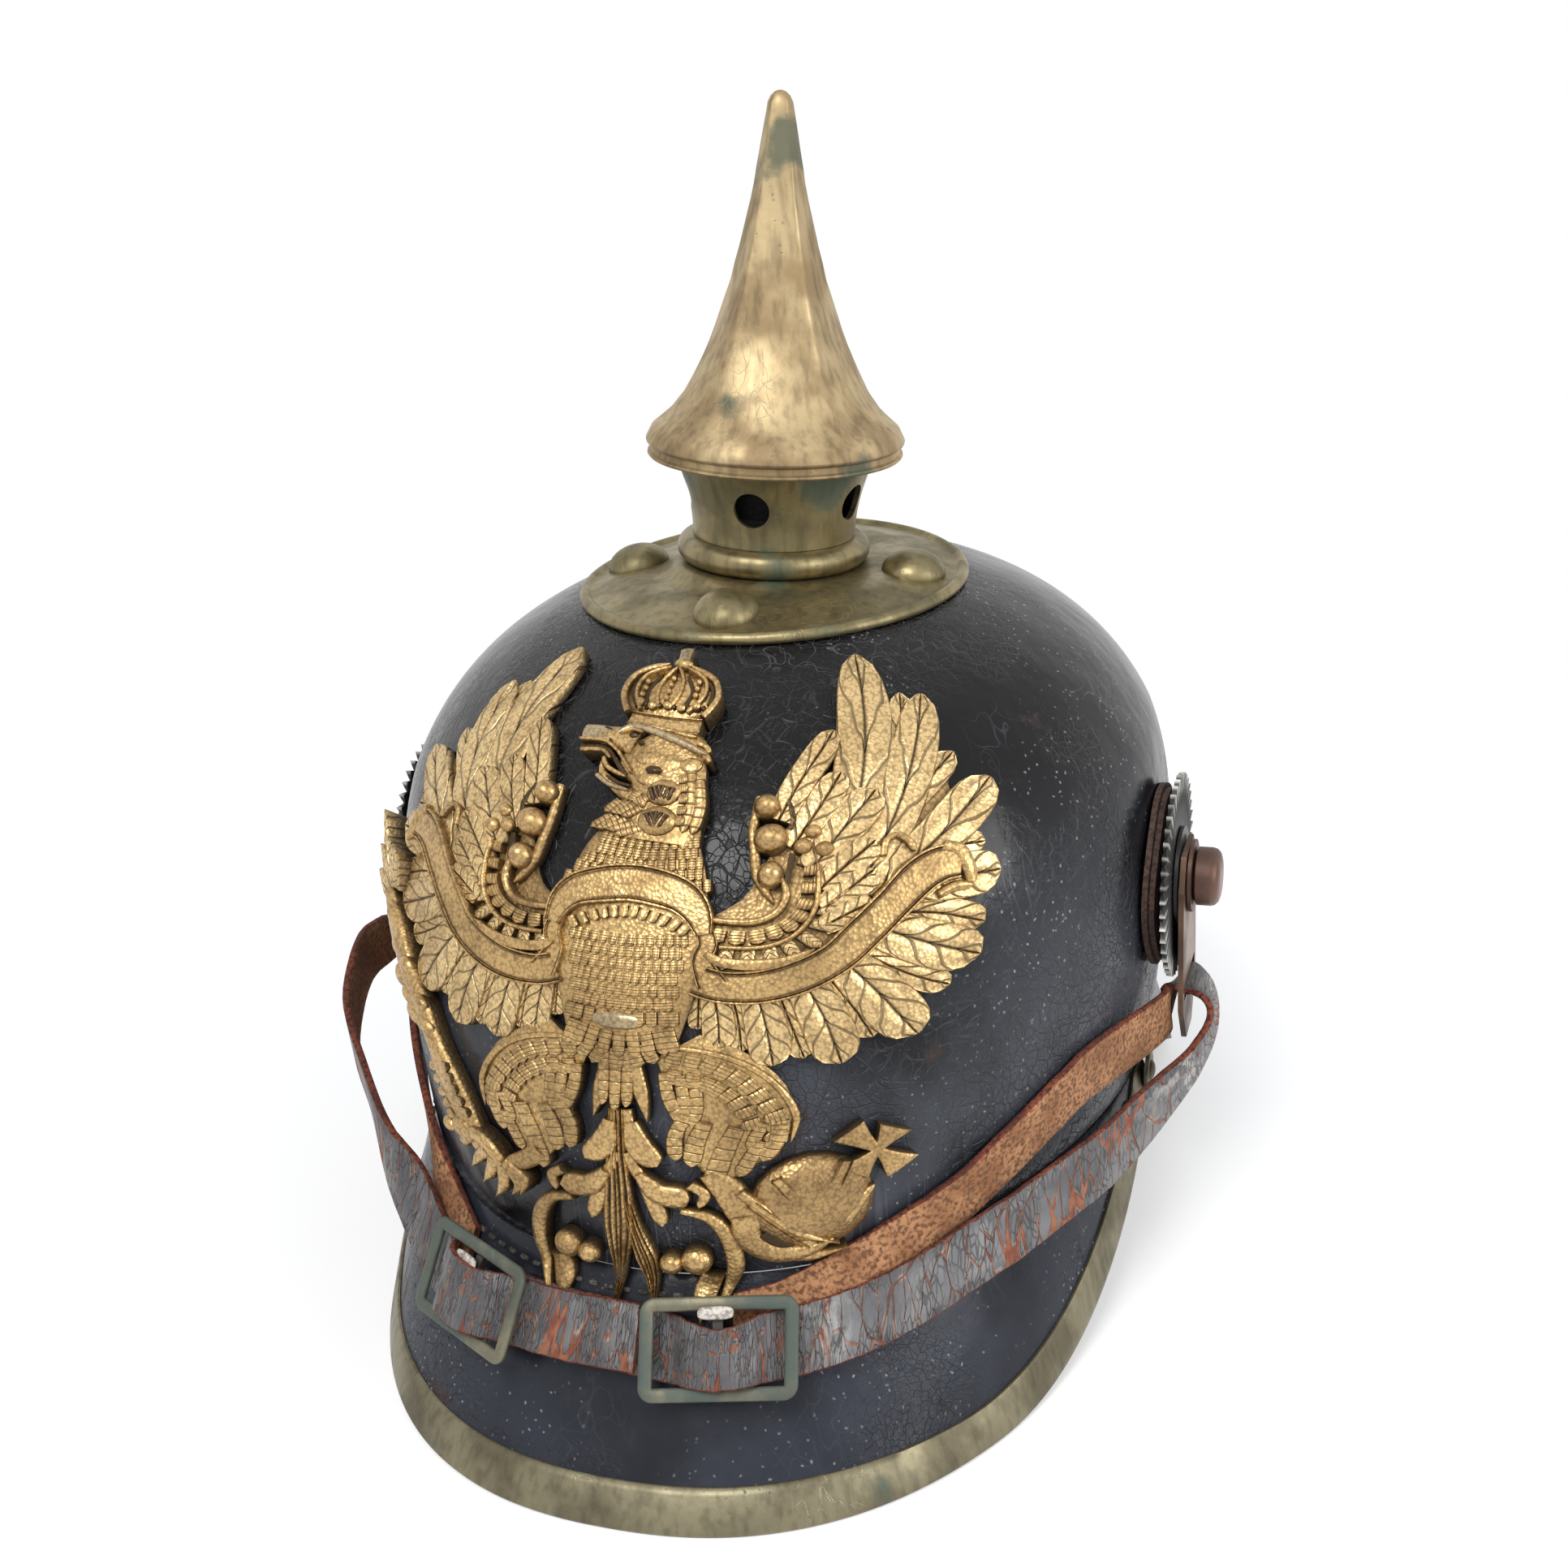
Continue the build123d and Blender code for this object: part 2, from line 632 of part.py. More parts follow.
def make_post():
    end = head_seat + post_head_height
    start = side_seat - shell_wall - nut_thickness - post_radius / 2
    shank = across(post_radius, start, head_seat, post_y, post_z)
    head = across(post_head_radius, head_seat, end, post_y, post_z)
    rim = head.edges().sort_by(Axis.X)[-1]
    return shank + fillet(rim, post_head_height / 3)


def make_post_washer():
    body = across(post_washer_radius, lug_out + running_gap, head_seat - touch, post_y, post_z)
    return body - post_holes()


def make_post_nut():
    inner = side_seat - shell_wall - touch
    body = across(nut_radius, inner - nut_thickness, inner + shell_wall, post_y, post_z)
    body &= block(-shell_wall - touch)
    return body - across(post_radius + touch, inner - overrun, inner + overrun, post_y, post_z)


def make_lug():
    half, end = lug_width / 2, lug_tongue_end_width / 2
    low = -lug_slot_drop - lug_tongue
    top, taper = half * lug_top_share, low * lug_taper_share
    points = [(-top, lug_top), (top, lug_top), (half, 0), (half, taper), (end, low), (-end, low),
              (-half, taper), (-half, 0)]
    plate = extrude(make_face(Polyline(*points, close=True)), lug_sheet)
    plate -= Cylinder(post_radius + running_gap, 4 * lug_sheet)
    slot = Box(lug_slot_width, lug_slot_height, 4 * lug_sheet)
    slot = Pos(0, -lug_slot_drop - lug_slot_height / 2, 0) * slot
    way = Plane(origin=(lug_face, post_y, post_z), x_dir=(0, 1, 0), z_dir=(1, 0, 0))
    return way * (plate - slot)


# Chinstrap

def on_hull(angle, middle, lift, way=1):
    """Station of leather on the hull: its middle, the direction across it and the one along it."""
    reach = strap_width * strap_contact_share
    top, low = hull_point(angle, middle + reach), hull_point(angle, middle - reach)
    along = (hull_point(angle + 1, middle) - hull_point(angle - 1, middle)).normalized()
    side = (top - low).normalized()
    out = along.cross(side).normalized()
    centre = (top + low) * 0.5
    heights = [middle + strap_width * i / 4 for i in range(-2, 3)]
    seat = max((hull_point(angle, z) - centre).dot(out) for z in heights)
    return centre + out * (seat + lift), side, along * way


def beside_lug(out, forward, up, tilt, turn):
    """Station beside the lug, counted from the slot's lower edge."""
    lean, pitch = math.radians(90 * tilt), math.radians(90 * turn)
    x, y = lug_face + lug_sheet / 2 + out * loop_bulge, post_y - forward * loop_bulge
    z = post_z - lug_slot_drop - lug_slot_height + up * loop_bulge
    upright = Vector(0, math.sin(lean), math.cos(lean))
    along = Vector(math.cos(pitch), 0, 0) + upright * math.sin(pitch)
    return Vector(x, y, z), Vector(0, -math.cos(lean), math.sin(lean)), along


def ribbon(stations):
    """Strip of leather through stations."""
    faces = []
    for middle, side, along in stations:
        half = side * (strap_width / 2)
        thick = along.cross(side).normalized() * (strap_leather / 2)
        corners = [middle + half + thick, middle - half + thick, middle - half - thick, middle + half - thick]
        faces.append(make_face(Polyline(*corners, close=True)))
    return loft(faces, ruled=True)


layer_one = strap_lift
layer_two = strap_lift + strap_leather + strap_layer_gap
frame_lift = layer_two + (strap_leather + buckle_sheet) / 2 + strap_layer_gap
arch_lift = frame_lift + (buckle_sheet + strap_leather) / 2 + strap_layer_gap


def half_strap(inner, loop, outer, buckle_angle, end, last):
    """Strip on the +X side: from under its own buckle to the lug's slot, and back through the buckle."""
    stations = [on_hull(a * lug_angle, strap_level + rise * inner_rise, layer_one) for a, rise in inner]
    stations += [beside_lug(*row) for row in inner_loop_shares + loop]
    stations += [on_hull(a * lug_angle, strap_level + rise * outer_rise, layer_two + lift * outer_spread, -1)
                 for a, rise, lift in outer]
    step = math.degrees(buckle_length / (4 * (shell_front + visor_reach / 4)))
    final = arch_lift - arch_drop if last < layer_two else arch_lift
    dip = step * buckle_dip_share
    over = ((dip, layer_two), (step, arch_lift), (0, arch_lift + arch_crown), (-step, final), (-dip, last))
    stations += [on_hull(buckle_angle + turn, strap_level, lift, -1) for turn, lift in over]
    stations += [on_hull(a * lug_angle, strap_level + rise * inner_rise, last, -1) for a, rise in end]
    return ribbon(stations)


def right_strap():
    outer, end = right_outer_shares, right_end_shares
    return half_strap(right_inner_shares, right_loop_shares, outer, right_buckle_angle, end, layer_one)


def left_strap():
    outer, end = left_outer_shares, left_end_shares
    strip = half_strap(left_inner_shares, left_loop_shares, outer, left_buckle_angle, end, layer_two)
    return mirror(strip, Plane.YZ)


def buckle_plane(angle):
    seat, width, along = on_hull(angle, strap_level, frame_lift)
    return Plane(origin=seat, x_dir=along, z_dir=along.cross(width))


def make_buckle(angle):
    frame = Box(buckle_length, buckle_height, buckle_sheet)
    frame -= Box(buckle_length - 2 * buckle_bar, buckle_height - 2 * buckle_bar, 2 * buckle_sheet)
    frame = fillet(frame.edges().filter_by(Axis.Z).group_by(SortBy.DISTANCE)[-1], buckle_bar / 2)
    return buckle_plane(angle) * frame


def make_buckle_bar(angle):
    bar = Box(buckle_centre_bar, buckle_height - 2 * buckle_bar - 2 * touch, buckle_sheet)
    return buckle_plane(angle) * bar


# Rear spine and ventilator

def make_spine():
    strip = Pos(0, 2 * shell_back, 0) * Box(spine_width, 4 * shell_back, 4 * shell_back)
    upper = (block(touch + spine_sheet) & strip) - Pos(0, 0, crown_z) * Cylinder(plate_radius, crown_z)
    lower = (flare(touch + spine_sheet) & strip & rear_edge(0, -trim_sheet)) - flare(touch)
    bed = vent_pad_height - slider_sheet - slider_lip
    pad = vent_box(vent_pad_width, vent_pad_length, -3 * vent_pad_height, vent_pad_height)
    channel = slider_width + 2 * running_gap
    pad -= vent_box(channel, 2 * vent_pad_length, bed, vent_pad_height - slider_lip / 2)
    pad -= vent_box(slider_width - 2 * slider_lip, 2 * vent_pad_length, bed, 2 * vent_pad_height)
    trough = vent_box(vent_pad_width - touch, vent_pad_length - touch, bed, 4 * vent_pad_height)
    return (upper - trough) + pad - block(touch) + lower - vent_hole() - spine_stud_hole()


def make_slider():
    low = vent_pad_height - slider_sheet - slider_lip + running_gap / 2
    plate = vent_box(slider_width, slider_length, low, low + slider_sheet, -slider_travel / 2 + running_gap)
    knob = Rot(-90, 0, 0) * Cylinder(slider_knob_radius, slider_knob_height, align=upwards)
    return plate + vent_seat * Pos(0, low + slider_sheet, -slider_travel / 2) * knob


def make_spine_stud():
    seat = shell_back + touch + spine_sheet + touch / 2
    way = Pos(0, seat, spine_stud_z) * Rot(-90, 0, 0)
    head = Cylinder(spine_stud_radius, spine_stud_height, align=upwards)
    head = fillet(head.edges().sort_by(Axis.Z)[-1], spine_stud_height / 2)
    depth = spine_sheet + shell_wall + collar_wall + 2 * touch
    shank = Cylinder(stud_shank_radius / 2, depth, align=downwards)
    return way * (head + shank)


# Liner

band_off = -shell_wall - collar_wall - touch - band_gap


def make_sweatband():
    return layer(band_off, band_off - band_wall, 0, band_height)


def make_fingers():
    skin = layer(-finger_inset, -finger_inset - finger_wall, finger_start_z, None, finger_height)
    skin -= Cylinder(finger_tip_radius, 4 * shell_height)
    deep = 2 * (finger_height - finger_start_z - finger_gap)
    for i in range(finger_count):
        slit = Pos(0, -shell_back, finger_height) * Box(finger_gap, 2 * shell_back, deep)
        skin -= Rot(0, 0, 360 * (i + 0.5) / finger_count) * slit
    return skin


def make_lace():
    """Drawstring that gathers the finger tips, just under them."""
    share = lace_circle_radius / (shell_half_width - finger_inset)
    level = (1 - share ** crown_power) ** (1 / side_power)
    z = (finger_height - finger_inset) * level
    drop = Vector(0, 0, finger_wall + lace_radius + 3 * touch)
    turns = [360 * i / (4 * outline_points) for i in range(4 * outline_points)]
    ring = Spline(*(hull_point(a, z, -finger_inset, finger_height) - drop for a in turns), periodic=True)
    seat = Plane(origin=ring @ 0, z_dir=ring % 0)
    return sweep(seat * Circle(lace_radius), ring)


# Front plate

def eagle_place(share_x, share_z):
    quarter = math.radians(90) * share_z * eagle_height_share
    z = shell_height * math.sin(quarter)
    point = hull_point(share_x * eagle_half_angle, z)
    return point.X, z


def front_block(off):
    return block(off, 0, None, None, True)


def relief(shares, depth, mirrored=False):
    """One raised part of the front plate, from its outline and how far it stands out."""
    points = [eagle_place(x, z) for x, z in shares]
    solid = extrude(Plane.XZ * make_face(Polyline(*points, close=True)), 2 * shell_front)
    solid &= front_block(eagle_gap + depth)
    return both_sides(solid) if mirrored else solid


def make_eagle():
    solid = relief(wing_shares, eagle_wing_depth, True)
    solid += relief(ribbon_shares, eagle_ribbon_depth, True)
    solid += relief(body_shares, eagle_body_depth, True)
    solid += relief(head_shares, eagle_head_depth)
    solid += relief(leg_shares, eagle_leg_depth, True)
    solid += relief(tail_shares, eagle_tail_depth, True)
    solid += relief(claw_shares, eagle_leg_depth)
    solid += relief(cross_shares, eagle_tail_depth)
    solid += relief(sceptre_shares, eagle_sceptre_depth)
    x, z = eagle_place(*orb_centre_shares)
    orb = Pos(x, -shell_front, z) * Rot(90, 0, 0) * Cylinder(orb_radius, 2 * shell_front)
    return solid + (orb & front_block(eagle_gap + eagle_orb_depth)) - front_block(eagle_gap)


def loop_depth():
    share = math.degrees(math.asin(eagle_loop_x / hull_sizes(eagle_loop_z)[0]))
    return hull_point(share, eagle_loop_z).Y


def make_eagle_loops():
    back = loop_depth() - eagle_gap
    inside = loop_depth() + shell_wall + 2 * eagle_loop_radius
    end = inside - eagle_loop_radius
    stem = Rot(90, 0, 0) * Cylinder(eagle_loop_wire, end - back)
    stem = Pos(eagle_loop_x, (back + end) / 2, eagle_loop_z) * stem
    eye = Pos(eagle_loop_x, inside, eagle_loop_z) * Torus(eagle_loop_radius, eagle_loop_wire)
    return both_sides(stem + eye)


def make_wedges():
    depth = loop_depth() + shell_wall + 2 * eagle_loop_radius
    bar = math.sqrt(2) * (eagle_loop_radius - eagle_loop_wire - touch)
    body = Pos(eagle_loop_x, depth, eagle_loop_z) * Box(bar, bar, wedge_length)
    return both_sides(body)


parts = {
    "shell": make_shell,
    "front_visor": make_front_visor,
    "rear_visor": make_rear_visor,
    "front_visor_trim": make_trim,
    "trim_rivets": make_trim_rivets,
    "base_plate": make_base_plate,
    "base_studs": make_base_studs,
    "stud_washers": make_stud_washers,
    "crown_stiffener": make_stiffener,
    "collar_ring": make_collar_ring,
    "vented_neck": make_neck,
    "spike_socket": make_spigot,
    "spike": make_spike,
    "rear_spine": make_spine,
    "vent_slider": make_slider,
    "spine_stud": make_spine_stud,
    "sweatband": make_sweatband,
    "liner_fingers": make_fingers,
    "liner_lace": make_lace,
    "eagle_plate": make_eagle,
    "eagle_loops": make_eagle_loops,
    "eagle_wedges": make_wedges,
    "chinstrap_right": right_strap,
    "chinstrap_left": left_strap,
    "buckle_right": lambda: make_buckle(right_buckle_angle),
    "buckle_left": lambda: make_buckle(-left_buckle_angle),
    "buckle_right_bar": lambda: make_buckle_bar(right_buckle_angle),
    "buckle_left_bar": lambda: make_buckle_bar(-left_buckle_angle),
}
side_parts = {
    "leather_washer_inner": lambda: make_leather_washer(0),
    "leather_washer_outer": lambda: make_leather_washer(1),
    "cockade": make_cockade,
    "cockade_centre": make_centre_disc,
    "side_post": make_post,
    "post_washer": make_post_washer,
    "post_nut": make_post_nut,
    "strap_lug": make_lug,
}
for name, build in parts.items():
    export_step(build(), f"parts/{name}.step")
for name, build in side_parts.items():
    solid = build()
    export_step(solid, f"parts/{name}_left.step")
    export_step(mirror(solid, Plane.YZ), f"parts/{name}_right.step")
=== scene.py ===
import logging
import math
import random
from dataclasses import dataclass, field
from enum import Enum
from typing import Callable, Sequence

import bpy
from mathutils import Matrix, Vector


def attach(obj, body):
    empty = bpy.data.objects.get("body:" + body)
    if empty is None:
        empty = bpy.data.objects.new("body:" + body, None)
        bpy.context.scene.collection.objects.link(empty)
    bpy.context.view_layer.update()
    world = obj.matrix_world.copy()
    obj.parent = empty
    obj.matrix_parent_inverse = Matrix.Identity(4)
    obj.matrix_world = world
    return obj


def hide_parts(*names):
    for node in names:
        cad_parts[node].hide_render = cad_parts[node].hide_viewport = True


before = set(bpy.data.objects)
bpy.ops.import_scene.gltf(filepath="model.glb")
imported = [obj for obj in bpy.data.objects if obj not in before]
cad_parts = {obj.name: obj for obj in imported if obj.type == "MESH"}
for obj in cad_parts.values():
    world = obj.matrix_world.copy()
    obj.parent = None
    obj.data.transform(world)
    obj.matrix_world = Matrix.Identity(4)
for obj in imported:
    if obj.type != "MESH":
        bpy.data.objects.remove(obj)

log = logging.getLogger("helmet")
MM = 0.001
TURN = 2 * math.pi
WHITE = (1.0, 1.0, 1.0)
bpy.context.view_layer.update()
Point = tuple[float, float]
Triple = tuple[float, float, float]
Piece = bpy.types.Object
Socket = bpy.types.NodeSocket
Placer = Callable[[float, float], Vector]
Getter = Callable[[str], Socket]
Station = tuple[Vector, Vector, Vector]


def mix(first: float, second: float, share: float) -> float:
    """Value at a share of the way between two values."""
    return first + (second - first) * share


def clamp(value: float) -> float:
    """Value held between 0 and 1."""
    return max(0.0, min(1.0, value))


def upright_to(way: Vector) -> Matrix:
    """Turn that lays the upright axis along a direction."""
    return Vector((0, 0, 1)).rotation_difference(way).to_matrix().to_4x4()


def powered(value: float, power: float) -> float:
    """Power of a value that keeps its sign."""
    return math.copysign(abs(value) ** power, value)


def along(values: Sequence[float], share: float) -> float:
    """Smooth reading of a short list of values at a share of its length.

    Args:
        values: evenly spaced values.
        share: place along the list, from 0 to 1.

    Returns:
        The value there, on a Catmull-Rom curve through the list.
    """
    place = clamp(share) * (len(values) - 1)
    i = min(int(place), len(values) - 2)
    t = place - i
    a, b, c, d = (values[max(0, min(len(values) - 1, i + k))] for k in (-1, 0, 1, 2))
    return b + 0.5 * t * (c - a + t * (2 * a - 5 * b + 4 * c - d + t * (3 * (b - c) + d - a)))


@dataclass(frozen=True)
class Hull:
    """Rounded body shared by the shell and the visors. Its points are in metres."""

    half_width: float = 93.1 * MM
    brim_half_width: float = 84.5 * MM
    side_lean_height: float = 75.0 * MM
    front: float = 111.7 * MM
    back: float = 115.0 * MM
    height: float = 116.3 * MM
    side_power: float = 3.95
    front_power: float = 2.41
    back_power: float = 3.0
    crown_power: float = 2.14
    crown_share: float = 0.975
    visor_drop: float = 39.5 * MM
    visor_reach: float = 28.3 * MM
    rear_reach: float = 23.0 * MM
    visor_half_width: float = 89.0 * MM
    visor_power: float = 2.3

    def upright_width(self, z: float, off: float = 0.0) -> float:
        """Half width at a height, before the sides lean in to the brim."""
        level = max(0.0, min(z / (self.height + off), 1))
        return (self.half_width + off) * (1 - level ** self.side_power) ** (1 / self.crown_power)

    def sizes(self, z: float, off: float = 0.0) -> tuple[float, float, float, float]:
        """Half width, front length, back length and outline power at a height.

        Args:
            z: height above the shell's lower edge.
            off: distance outwards from the surface.

        Returns:
            The four sizes of the outline there.
        """
        if z >= 0:
            level = min(z / (self.height + off), 1)
            grow = [max(0.0, 1 - level ** p) ** (1 / self.crown_power) for p in (self.front_power, self.back_power)]
            lean = (self.half_width - self.brim_half_width) * max(0.0, 1 - z / self.side_lean_height)
            return self.upright_width(z, off) - lean, (self.front + off) * grow[0], (self.back + off) * grow[1], 2.0
        drop = -z / self.visor_drop
        narrow = (self.brim_half_width - self.visor_half_width) * max(0.0, 1 - drop) ** 2
        return (self.visor_half_width + narrow + off, self.front + self.visor_reach * drop + off,
                self.back + self.rear_reach * drop + off, 2 + (self.visor_power - 2) * min(drop, 1.2))

    def point(self, angle: float, z: float, off: float = 0.0) -> Vector:
        """Point at an angle in degrees from the front towards +X.

        Args:
            angle: direction on the outline.
            z: height.
            off: distance outwards.

        Returns:
            The point.
        """
        width, front, back, power = self.sizes(z, off)
        sine, cosine = math.sin(math.radians(angle)), math.cos(math.radians(angle))
        length = front if cosine > 0 else back
        return Vector((math.copysign(width * abs(sine) ** (2 / power), sine),
                       -math.copysign(length * abs(cosine) ** (2 / power), cosine), z))

    def risen(self, angle: float, rise: float, off: float = 0.0) -> Vector:
        """Point at a share of the quarter turn from the lower edge to the crown."""
        return self.point(angle, (self.height + (off if rise > 0 else 0)) * math.sin(rise * math.pi / 2), off)

    def height_over(self, x: float, y: float, off: float = 0.0) -> float:
        """Height of the crown over a place seen from above.

        Args:
            x: place across.
            y: place along.
            off: distance outwards.

        Returns:
            The height, at most that of the flat crown.
        """
        low, high = 0.0, self.crown_share * (self.height + off)
        for _ in range(24):
            middle = (low + high) / 2
            width, front, back, _power = self.sizes(middle, off)
            length = front if y < 0 else back
            inside = (x / max(width, 1e-6)) ** 2 + (y / max(length, 1e-6)) ** 2 < 1
            low, high = (middle, high) if inside else (low, middle)
        return low


@dataclass(frozen=True)
class EdgeCurve:
    """Lower edge of a visor, seen from the side: level, then rising to its end."""

    level_y: float
    knee_y: float
    end_y: float
    end_z: float
    low_z: float = -39.5 * MM

    def height(self, y: float) -> float:
        """Height of the edge at a distance along the helmet."""
        if abs(y) >= abs(self.level_y):
            return self.low_z
        a = self.level_y - 2 * self.knee_y + self.end_y
        b = 2 * (self.knee_y - self.level_y)
        c = self.level_y - y
        root = math.sqrt(max(0.0, b * b - 4 * a * c))
        t = clamp((-b + root) / (2 * a)) if (-b + root) / (2 * a) >= 0 else clamp((-b - root) / (2 * a))
        return (1 - t) ** 2 * self.low_z + 2 * t * (1 - t) * self.low_z + t * t * self.end_z

    def meet(self, hull: Hull, angle: float, shift_y: float = 0.0, shift_z: float = 0.0) -> float:
        """Height at which the hull meets the edge in one direction.

        Args:
            hull: the body that carries the visor.
            angle: direction in degrees from the front.
            shift_y: shift of the edge along the helmet.
            shift_z: shift of the edge upwards.

        Returns:
            The height there, at most 0.
        """
        low, high = self.low_z + shift_z, 0.0
        for _ in range(26):
            middle = (low + high) / 2
            edge = self.height(hull.point(angle, middle).y - shift_y) + shift_z
            low, high = (low, middle) if middle > edge else (middle, high)
        return low


HULL = Hull()
FRONT_EDGE = EdgeCurve(-98 * MM, -60 * MM, -7.5 * MM, -4.2 * MM)
REAR_EDGE = EdgeCurve(92 * MM, 58 * MM, 22 * MM, -4.0 * MM)


class Bench:
    """Adds primitives, shapes them and finishes them."""

    @staticmethod
    def clear() -> None:
        """Leaves object mode with nothing selected."""
        if bpy.context.object and bpy.context.object.mode != "OBJECT":
            bpy.ops.object.mode_set(mode="OBJECT")
        bpy.ops.object.select_all(action="DESELECT")

    @staticmethod
    def pick(piece: Piece) -> None:
        """Makes one piece the only selected and active one."""
        Bench.clear()
        piece.select_set(True)
        bpy.context.view_layer.objects.active = piece

    @staticmethod
    def sheet(name: str, columns: int, rows: int, place: Placer, merge: bool = False) -> Piece:
        """Grid whose vertices are placed by a function of two shares.

        Args:
            name: name of the piece.
            columns: faces across.
            rows: faces along.
            place: gives the place for a share across and a share along.
            merge: whether vertices that fall together are merged.

        Returns:
            The new piece.
        """
        Bench.clear()
        bpy.ops.mesh.primitive_grid_add(x_subdivisions=columns, y_subdivisions=rows, size=2)
        piece = bpy.context.object
        piece.name = name
        for vertex in piece.data.vertices:
            vertex.co = place((vertex.co.x + 1) / 2, (vertex.co.y + 1) / 2)
        if merge:
            Bench.merge(piece)
        return piece

    @staticmethod
    def merge(piece: Piece, distance: float = 1e-6) -> None:
        """Merges vertices of a piece that lie together."""
        Bench.pick(piece)
        bpy.ops.object.mode_set(mode="EDIT")
        bpy.ops.mesh.select_all(action="SELECT")
        bpy.ops.mesh.remove_doubles(threshold=distance)
        bpy.ops.object.mode_set(mode="OBJECT")

    @staticmethod
    def close(piece: Piece) -> None:
        """Fills the open rims of a piece and turns its faces outwards."""
        Bench.pick(piece)
        bpy.ops.object.mode_set(mode="EDIT")
        bpy.ops.mesh.select_all(action="DESELECT")
        bpy.ops.mesh.select_mode(type="EDGE")
        bpy.ops.mesh.select_non_manifold(extend=False, use_wire=False, use_boundary=True,
                                         use_multi_face=False, use_non_contiguous=False, use_verts=False)
        bpy.ops.mesh.edge_face_add()
        bpy.ops.mesh.select_mode(type="VERT")
        bpy.ops.mesh.select_all(action="SELECT")
        bpy.ops.mesh.normals_make_consistent(inside=False)
        bpy.ops.object.mode_set(mode="OBJECT")

    @staticmethod
    def modify(piece: Piece, kind: str, **settings: object) -> None:
        """Adds a modifier and applies it."""
        Bench.pick(piece)
        modifier = piece.modifiers.new(kind.lower(), kind)
        for key, value in settings.items():
            setattr(modifier, key, value)
        bpy.ops.object.modifier_apply(modifier=modifier.name)

    @staticmethod
    def wall(piece: Piece, thickness: float) -> None:
        """Gives a sheet a wall on its inner side."""
        Bench.modify(piece, "SOLIDIFY", thickness=thickness, offset=-1.0, use_even_offset=True)

    @staticmethod
    def soften(piece: Piece, width: float) -> None:
        """Rounds the sharp edges of a piece."""
        Bench.modify(piece, "BEVEL", width=width, segments=2, limit_method="ANGLE", angle_limit=math.radians(60))

    @staticmethod
    def turned(name: str, profile: Sequence[Point], seat: Matrix, steps: int = 96) -> Piece:
        """Closed turned piece.

        Args:
            name: name of the piece.
            profile: radius and height in metres, from the lowest point on the axis side, outside up.
            seat: where the turning axis stands.
            steps: faces around.

        Returns:
            The new piece.
        """
        rows = len(profile) - 1

        def place(around: float, up: float) -> Vector:
            radius, height = profile[round(up * rows)]
            return seat @ Vector((radius * math.cos(TURN * around), radius * math.sin(TURN * around), height))

        return Bench.sheet(name, steps, rows, place, merge=True)

    @staticmethod
    def smooth(piece: Piece, degrees: float) -> None:
        """Smooth shading, apart from edges sharper than an angle."""
        Bench.pick(piece)
        bpy.ops.object.shade_smooth_by_angle(angle=math.radians(degrees))

    @staticmethod
    def join(name: str, pieces: Sequence[Piece]) -> Piece:
        """Joins pieces into one."""
        Bench.clear()
        for piece in pieces:
            piece.select_set(True)
        bpy.context.view_layer.objects.active = pieces[0]
        bpy.ops.object.join()
        pieces[0].name = name
        return pieces[0]

    @staticmethod
    def mirrored(piece: Piece, name: str) -> Piece:
        """Copy of a piece on the other side, with its own mesh."""
        Bench.pick(piece)
        bpy.ops.object.duplicate(linked=False)
        copy = bpy.context.object
        copy.name = name
        for vertex in copy.data.vertices:
            vertex.co.x = -vertex.co.x
        bpy.ops.object.mode_set(mode="EDIT")
        bpy.ops.mesh.select_all(action="SELECT")
        bpy.ops.mesh.flip_normals()
        bpy.ops.object.mode_set(mode="OBJECT")
        return copy

    @staticmethod
    def dress(piece: Piece, angle: float, *finishes: bpy.types.Material) -> Piece:
        """Shades a piece smooth up to an angle in degrees and gives it its materials."""
        Bench.smooth(piece, angle)
        for finish in finishes:
            piece.data.materials.append(finish)
        return piece

    @staticmethod
    def hide(piece: Piece, seat: Matrix, hidden: Callable[[float, float], bool]) -> None:
        """Gives its second material, a near-black painted shade, to the faces that a rule picks by radius and height.

        Args:
            piece: the piece.
            seat: where the axis stands.
            hidden: the rule, given a face's radius and height.
        """
        upright = seat.inverted()
        for face in piece.data.polygons:
            spot = upright @ face.center
            face.material_index = int(hidden(math.hypot(spot.x, spot.y), spot.z))

    @staticmethod
    def hand_over(piece: Piece, body: str, slot: str, *nodes: str) -> None:
        """Attaches a finished piece to its body and hides the nodes that it stands for.

        Args:
            piece: the finished piece.
            body: body that it moves with.
            slot: material slot; not used.
            nodes: nodes that it stands for.
        """
        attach(piece, body)
        if nodes:
            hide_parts(*nodes)
        log.info("%s: %d faces on %s", piece.name, len(piece.data.polygons), body)


